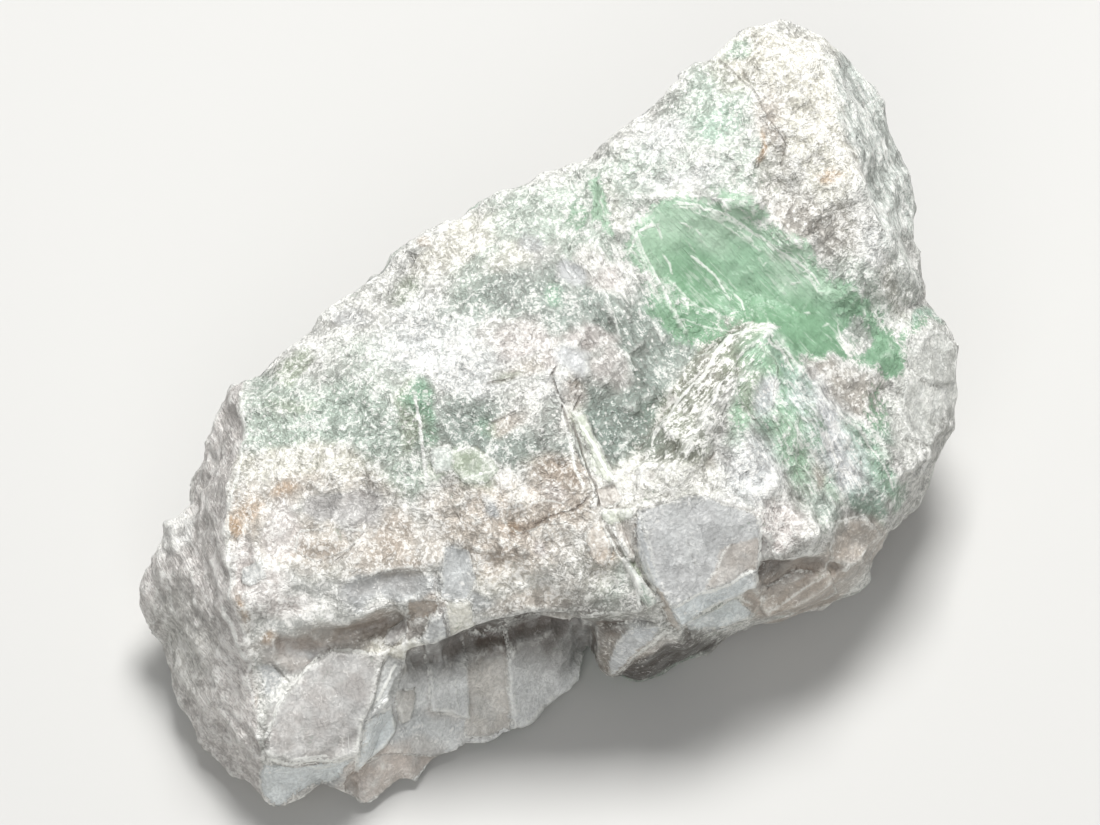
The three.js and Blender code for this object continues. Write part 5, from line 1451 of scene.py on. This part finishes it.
class RockPaint:
    """Works out the stone's tone, white grains, waxy green and gloss on every point."""

    def __init__(
        self, sheet: FaceOnSheet, stone: RoughVariscite, points: np.ndarray, normals: np.ndarray
    ) -> None:
        """Paints the points.

        Args:
            sheet: the sheet on which the seen side is laid out.
            stone: the stone's colours.
            points: the rock's points, in mm.
            normals: the way each point faces.
        """
        self.stone, self.points = stone, points
        self.spot = sheet.place(points)
        self.seen = smooth_step(-0.12, 0.06, normals @ np.array(sheet.axes()[2]))
        self.behind = 1 - self.seen
        sway = np.column_stack([waves(points, 4.0, 3 + axis, 3) for axis in range(2)])
        self.swayed = self.spot + 0.9 * sway
        # Every line and border wanders a little off its run.
        self.wandered = 0.8 * self.spot + 0.2 * self.swayed
        ridge = np.interp(self.spot[:, 1], *zip(*LEFT_RIDGE))
        self.end_face = smooth_step(-0.2, 0.3, ridge - self.spot[:, 0]) * self.seen
        # Where the painted shade under the shelf and the other overhangs lies.
        self.painted_shade = any_of(PAINTED_SHADE_OVALS, self.wandered) * self.seen
        tone, frost = self._tones()
        wax, wax_tone = self._waxed()
        facet_side, facet_share, facet_tone = self._facets(tone)
        self.glassy = self._glassy(facet_side, facet_share)
        self.streaks = self._streaks()
        self.tones = {"tone": tone, "wax_tone": wax_tone, "facet_tone": facet_tone}
        self.shares = {
            "frost": frost, "wax": wax, "glassy": self.glassy, "facet_side": facet_side,
            "facet_share": facet_share, **self.streaks,
        }

    def _tones(self) -> tuple[np.ndarray, np.ndarray]:
        """Lays the tones over each other, on the seen side by their ovals and behind by broad bands."""
        tone = np.tile(linear(Tint.QUARTZ.hex_colour)[:3], (len(self.points), 1))
        frost = np.full(len(self.points), Tint.QUARTZ.grains)
        drawn = pressed(self.points, HIDDEN_GRAIN, 0.5)
        layers = [
            (tint, 0.9 * self.behind * smooth_step(low, high, waves(drawn, size, seed, 4)))
            for tint, size, low, high, seed in HIDDEN_TONES
        ]
        layers += [(tint, any_of(patches, self.swayed) * self.seen) for tint, patches in TONES]
        # The painted shade under the overhangs goes on before the end face's tone.
        layers += [(Tint.PAINTED_SHADE, self.painted_shade), (Tint.END_MAUVE, self.end_face)]
        layers += [(tint, self.end_face * patch.share(self.swayed)) for tint, patch in END_TONES]
        for tint, share in layers:
            tone = laid_over(tone, tint.hex_colour, share)
            frost = frost + (tint.grains - frost) * share
        return tone, frost

    def _facets(self, bare: np.ndarray) -> tuple[np.ndarray, np.ndarray, np.ndarray]:
        """Measures each point against the nearest facet's border.

        Args:
            bare: the tone under the facets.

        Returns:
            How deep inside that facet the point lies, in mm, how strong the facet's own tone is, and
            that tone, with the painted shade under the overhangs laid over it.
        """
        reach = 0.8
        side = np.full(len(self.points), -9.0)
        share = np.zeros(len(self.points))
        tone = bare.copy()
        for facet in FACETS:
            inside = facet.inside(self.wandered)
            nearer = inside > np.maximum(-reach, np.where(side > 0, 0.0, side))
            if facet.tint is None:
                nearer &= np.abs(inside) < np.where(side > 0, np.abs(side), 9.0)
            side = np.where(nearer, inside, side)
            share = np.where(nearer, self.seen * (0.0 if facet.tint is None else 0.85), share)
            if facet.tint is not None:
                tone = np.where(nearer[:, None], np.array(linear(facet.tint.hex_colour)[:3]), tone)
        # The painted shade under the overhangs is laid over the facets' own tones as well.
        return np.clip(side, -2, 2), share, laid_over(tone, Tint.PAINTED_SHADE.hex_colour, self.painted_shade)

    def _waxed(self) -> tuple[np.ndarray, np.ndarray]:
        """Works out where the waxy green lies, and how deep its tone is."""
        hollow = smooth_step(-1.8, 1.5, depth_in(WAX_OUTLINE, self.swayed))
        wax = np.maximum(hollow, any_of(WAX, self.swayed))
        wax = wax * (1 - any_of(WAX_GAPS, self.swayed)) * self.seen
        bands = waves(pressed(self.points, HIDDEN_GRAIN, 0.4), 12.0, 83, 4)
        wax = np.maximum(wax, 0.8 * self.behind * smooth_step(0.15, 0.75, bands))
        tone = np.tile(linear(self.stone.wax_mid)[:3], (len(self.points), 1))
        for hex_colour, patches in ((self.stone.wax_pale, WAX_PALE), (self.stone.wax_dark, WAX_DARK)):
            tone = laid_over(tone, hex_colour, any_of(patches, self.swayed))
        return wax, tone

    def _glassy(self, facet_side: np.ndarray, facet_share: np.ndarray) -> np.ndarray:
        """Returns how glassy the break is: in the ovals, on toned facets, and here and there behind."""
        seen = any_of(GLASSY, self.swayed) * self.seen * (1 - self.end_face)
        hidden = self.behind * 0.8 * smooth_step(0.2, 0.45, waves(self.points, 17.0, 61, 2))
        return np.maximum(np.maximum(seen, hidden), 0.9 * facet_share * smooth_step(-0.1, 0.3, facet_side))

    def _streaks(self) -> dict[str, np.ndarray]:
        """Returns how strongly each kind of streak is drawn."""
        hollow, flank, wedge = (
            any_of(patches, self.spot) * self.seen
            for patches in (HOLLOW_STREAKS, FLANK_STREAKS, WEDGE_STREAKS)
        )
        wedge_behind, end_behind = (
            self.behind * 0.8 * smooth_step(0.1, 0.4, waves(self.points, 24.0, seed)) for seed in (71, 73)
        )
        return {
            "hollow_streaks": hollow,
            "wedge_streaks": np.maximum(wedge * (1 - flank), wedge_behind),
            "end_streaks": np.maximum(self.end_face, end_behind),
            "flank_streaks": flank,
        }


class RockRelief:
    """Breaks the smooth skin up into chips, flake scars, ribs, cracks and ledges."""

    # How wide the bowls of the break are in mm, and how far they lean.
    BOWLS = ((6.0, 0.24), (2.6, 0.28), (1.3, 0.26))
    # How wide the ribs along each kind of streak are, and how high, in mm.
    RIBS = {
        "hollow_streaks": (1.8, 0.08), "wedge_streaks": (1.8, 0.15), "end_streaks": (1.6, 0.28),
        "flank_streaks": (1.4, 0.2),
    }

    def __init__(self, sheet: FaceOnSheet, points: np.ndarray, paint: RockPaint) -> None:
        """Takes the rock's points.

        Args:
            sheet: the sheet on which the seen side is laid out.
            points: the rock's points, in mm.
            paint: what each point is made of.
        """
        self.sheet, self.points, self.paint = sheet, points, paint
        self.line_distance = np.full(len(points), 9.0)
        # How far each point lies left or right of its nearest line, in mm, and what that line is.
        self.shares = {
            "line_side": np.full(len(points), 9.0),
            "crack": np.zeros(len(points)),
            "scratch": np.zeros(len(points)),
        }

    def height(self) -> np.ndarray:
        """Returns how far each point moves along its normal, in millimetres."""
        paint, points = self.paint, self.points
        scarred, scars = self._scarred()
        hackly = 0.6 + 0.6 * any_of(HACKLY, paint.swayed) * paint.seen + 0.3 * paint.behind
        uneven = 0.9 + 0.3 * waves(points, 11.0, 5)
        rough = (1 - 0.88 * paint.glassy) * (1 - 0.4 * scarred) * hackly * uneven
        height = rough * sum(
            chips(points, size, tilt, 11 + order) for order, (size, tilt) in enumerate(self.BOWLS)
        )
        height += 0.12 * paint.glassy * waves(points, 5.0, 15, 2)
        for name, (size, amount) in self.RIBS.items():
            ribs = waves(pressed(points, self.sheet.direction(STREAK_WAYS[name])), size, 16, 2)
            height += amount * paint.streaks[name] * ribs
        height += scars
        for facet in FACETS:
            share = smooth_step(-0.2, 0.2, facet.inside(paint.wandered)) * paint.seen
            height += share * facet.height(paint.wandered)
        for mark in MARKS:
            height += self._mark(mark)
        for whiteness, *numbers in BRUISES:
            self._draw(line(*numbers), 0.0, whiteness)
        for x0, y0, x1, y1 in SCRATCHES:
            middle = ((x0 + x1) / 2 + 0.1 * (y1 - y0), (y0 + y1) / 2 - 0.1 * (x1 - x0))
            self._draw(((x0, y0), middle, (x1, y1)), 0.0, 0.6)
        return height

    def _scarred(self) -> tuple[np.ndarray, np.ndarray]:
        """Returns where flakes came off, and the height that is left there."""
        inside = np.zeros(len(self.points))
        depth = np.zeros(len(self.points))
        for deepest, scars in SCARS.items():
            for scar in scars:
                bowl = np.maximum(1 - scar.reach(self.paint.swayed) ** 2, 0) * self.paint.seen
                inside = np.maximum(inside, np.minimum(bowl * 4, 1))
                depth = np.maximum(depth, deepest * bowl)
        return inside, -depth

    def _mark(self, mark: Mark) -> np.ndarray:
        """Returns the height that one crack, ridge or ledge adds."""
        distance, side, seen = self._draw(mark.run, mark.darkness, 0.0)
        if mark.form is Form.LEDGE:
            fall = smooth_step(-0.22, 0.22, side) * smooth_step(mark.reach, mark.reach * 0.3, distance)
            return -mark.depth * fall * seen
        bell = np.exp(-((distance / mark.width) ** 2)) * seen
        return bell * (mark.depth if mark.form is Form.RIDGE else -mark.depth)

    def _draw(
        self, run: Run, darkness: float, whiteness: float
    ) -> tuple[np.ndarray, np.ndarray, np.ndarray]:
        """Keeps a line for the finish to draw finely.

        Args:
            run: the line's corners on the sheet.
            darkness: how open a crack it is.
            whiteness: how white a bruise it is.

        Returns:
            The distance from it, the signed distance, and how far it's seen there.
        """
        distance, side, within = distance_from_run(self.paint.wandered, run)
        seen = self.paint.seen * within
        if darkness + whiteness > 0:
            nearer = distance < self.line_distance
            near = seen * smooth_step(1.1, 0.6, distance)
            self.line_distance = np.where(nearer, distance, self.line_distance)
            drawn = {
                "line_side": np.clip(side, -2, 2), "crack": darkness * near, "scratch": whiteness * near,
            }
            for name, values in drawn.items():
                self.shares[name] = np.where(nearer, values, self.shares[name])
        return distance, side, seen


@dataclass
class Studio:
    """The plain pale floor, the soft lamps and the camera at the photograph's viewing angle."""

    sheet: FaceOnSheet = field(default_factory=FaceOnSheet)
    floor_width: float = 3.0
    floor_colour: str = "#c9c8c5"
    air_colour: str = "#e8ebee"
    air_strength: float = 0.27
    sensor_width: float = 36.0
    # Each lamp's direction from the rock, as across, up and out, its distance and width in metres, and
    # its watts.
    lamps: dict[str, tuple[tuple[float, float, float], float, float, float]] = field(
        default_factory=lambda: {
            "key_softbox": ((0.08, 1.0, 0.8), 0.6, 0.22, 4.65),
            "fill_softbox": ((-0.1, -0.35, 1.0), 0.7, 0.5, 1.75),
        }
    )

    def build(self) -> None:
        """Puts up the floor, the lamps and the camera."""
        self._floor()
        self._air()
        for name, (way, distance, width, watts) in self.lamps.items():
            self._lamp(name, way, distance, width, watts)
        self._camera()

    def _floor(self) -> None:
        """Lays the floor that the rock stands on."""
        shape = bmesh.new()
        bmesh.ops.create_grid(shape, x_segments=1, y_segments=1, size=self.floor_width / 2)
        mesh = bpy.data.meshes.new("floor")
        shape.to_mesh(mesh)
        shape.free()
        floor = bpy.data.objects.new("floor", mesh)
        bpy.context.scene.collection.objects.link(floor)
        # Matt board: it takes soft shadows and throws a little light back up.
        bench = MaterialBench("matt_pale_board")
        matt = {"Base Color": linear(self.floor_colour), "Roughness": 0.9}
        board = bench.add("ShaderNodeBsdfPrincipled", matt)
        bench.add("ShaderNodeOutputMaterial", {"Surface": board.outputs["BSDF"]})
        mesh.materials.append(bench.material)

    def _air(self) -> None:
        """Fills the room with even light."""
        world = bpy.data.worlds.new("studio")
        world.use_nodes = True
        background = world.node_tree.nodes["Background"]
        background.inputs["Color"].default_value = linear(self.air_colour)
        background.inputs["Strength"].default_value = self.air_strength
        bpy.context.scene.world = world

    def _lamp(
        self, name: str, way: tuple[float, float, float], distance: float, width: float, watts: float
    ) -> None:
        """Hangs a square soft lamp that looks at the rock.

        Args:
            name: the lamp's name.
            way: the direction from the rock to the lamp, as across, up and out.
            distance: how far off it hangs, in metres.
            width: how wide it is, in metres.
            watts: its power.
        """
        across, up, out = self.sheet.axes()
        towards = across * way[0] + up * way[1] + out * way[2]
        data = bpy.data.lights.new(name, "AREA")
        data.shape = "SQUARE"
        data.size = width
        data.energy = watts
        lamp = bpy.data.objects.new(name, data)
        bpy.context.scene.collection.objects.link(lamp)
        lamp.location = Vector(self.sheet.target) * MM + towards.normalized() * distance
        lamp.rotation_mode = "QUATERNION"
        lamp.rotation_quaternion = towards.to_track_quat("Z", "Y")

    def _camera(self) -> None:
        """Stands the camera where the photograph was taken from."""
        across, up, out = self.sheet.axes()
        data = bpy.data.cameras.new("camera")
        data.sensor_width = self.sensor_width
        data.lens = self.sensor_width * self.sheet.eye_distance / self.sheet.width
        data.clip_start = 0.01
        camera = bpy.data.objects.new("camera", data)
        bpy.context.scene.collection.objects.link(camera)
        turned = Matrix((across, up, out)).transposed().to_4x4()
        place = (Vector(self.sheet.target) + out * self.sheet.eye_distance) * MM
        camera.matrix_world = Matrix.Translation(place) @ turned
        bpy.context.scene.camera = camera


def corners(bounds: Any) -> list[list[float]]:
    """Turns a box's two corners into plain lists."""
    return [[float(value) for value in corner] for corner in bounds]


def main() -> None:
    """Builds the rock and the studio around it."""
    logging.basicConfig(level=logging.INFO, format="%(name)s: %(message)s")
    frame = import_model()
    bpy.context.scene.view_settings.view_transform = "Standard"
    Studio().build()
    log.info("studio is up")
    rock = RockSurface().build(frame["nodes"][CAD_NODE])
    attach(rock, "root")
    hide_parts(CAD_NODE)
    log.info("%s has %d triangles", rock.name, len(rock.data.polygons))


if __name__ == "__main__":
    main()
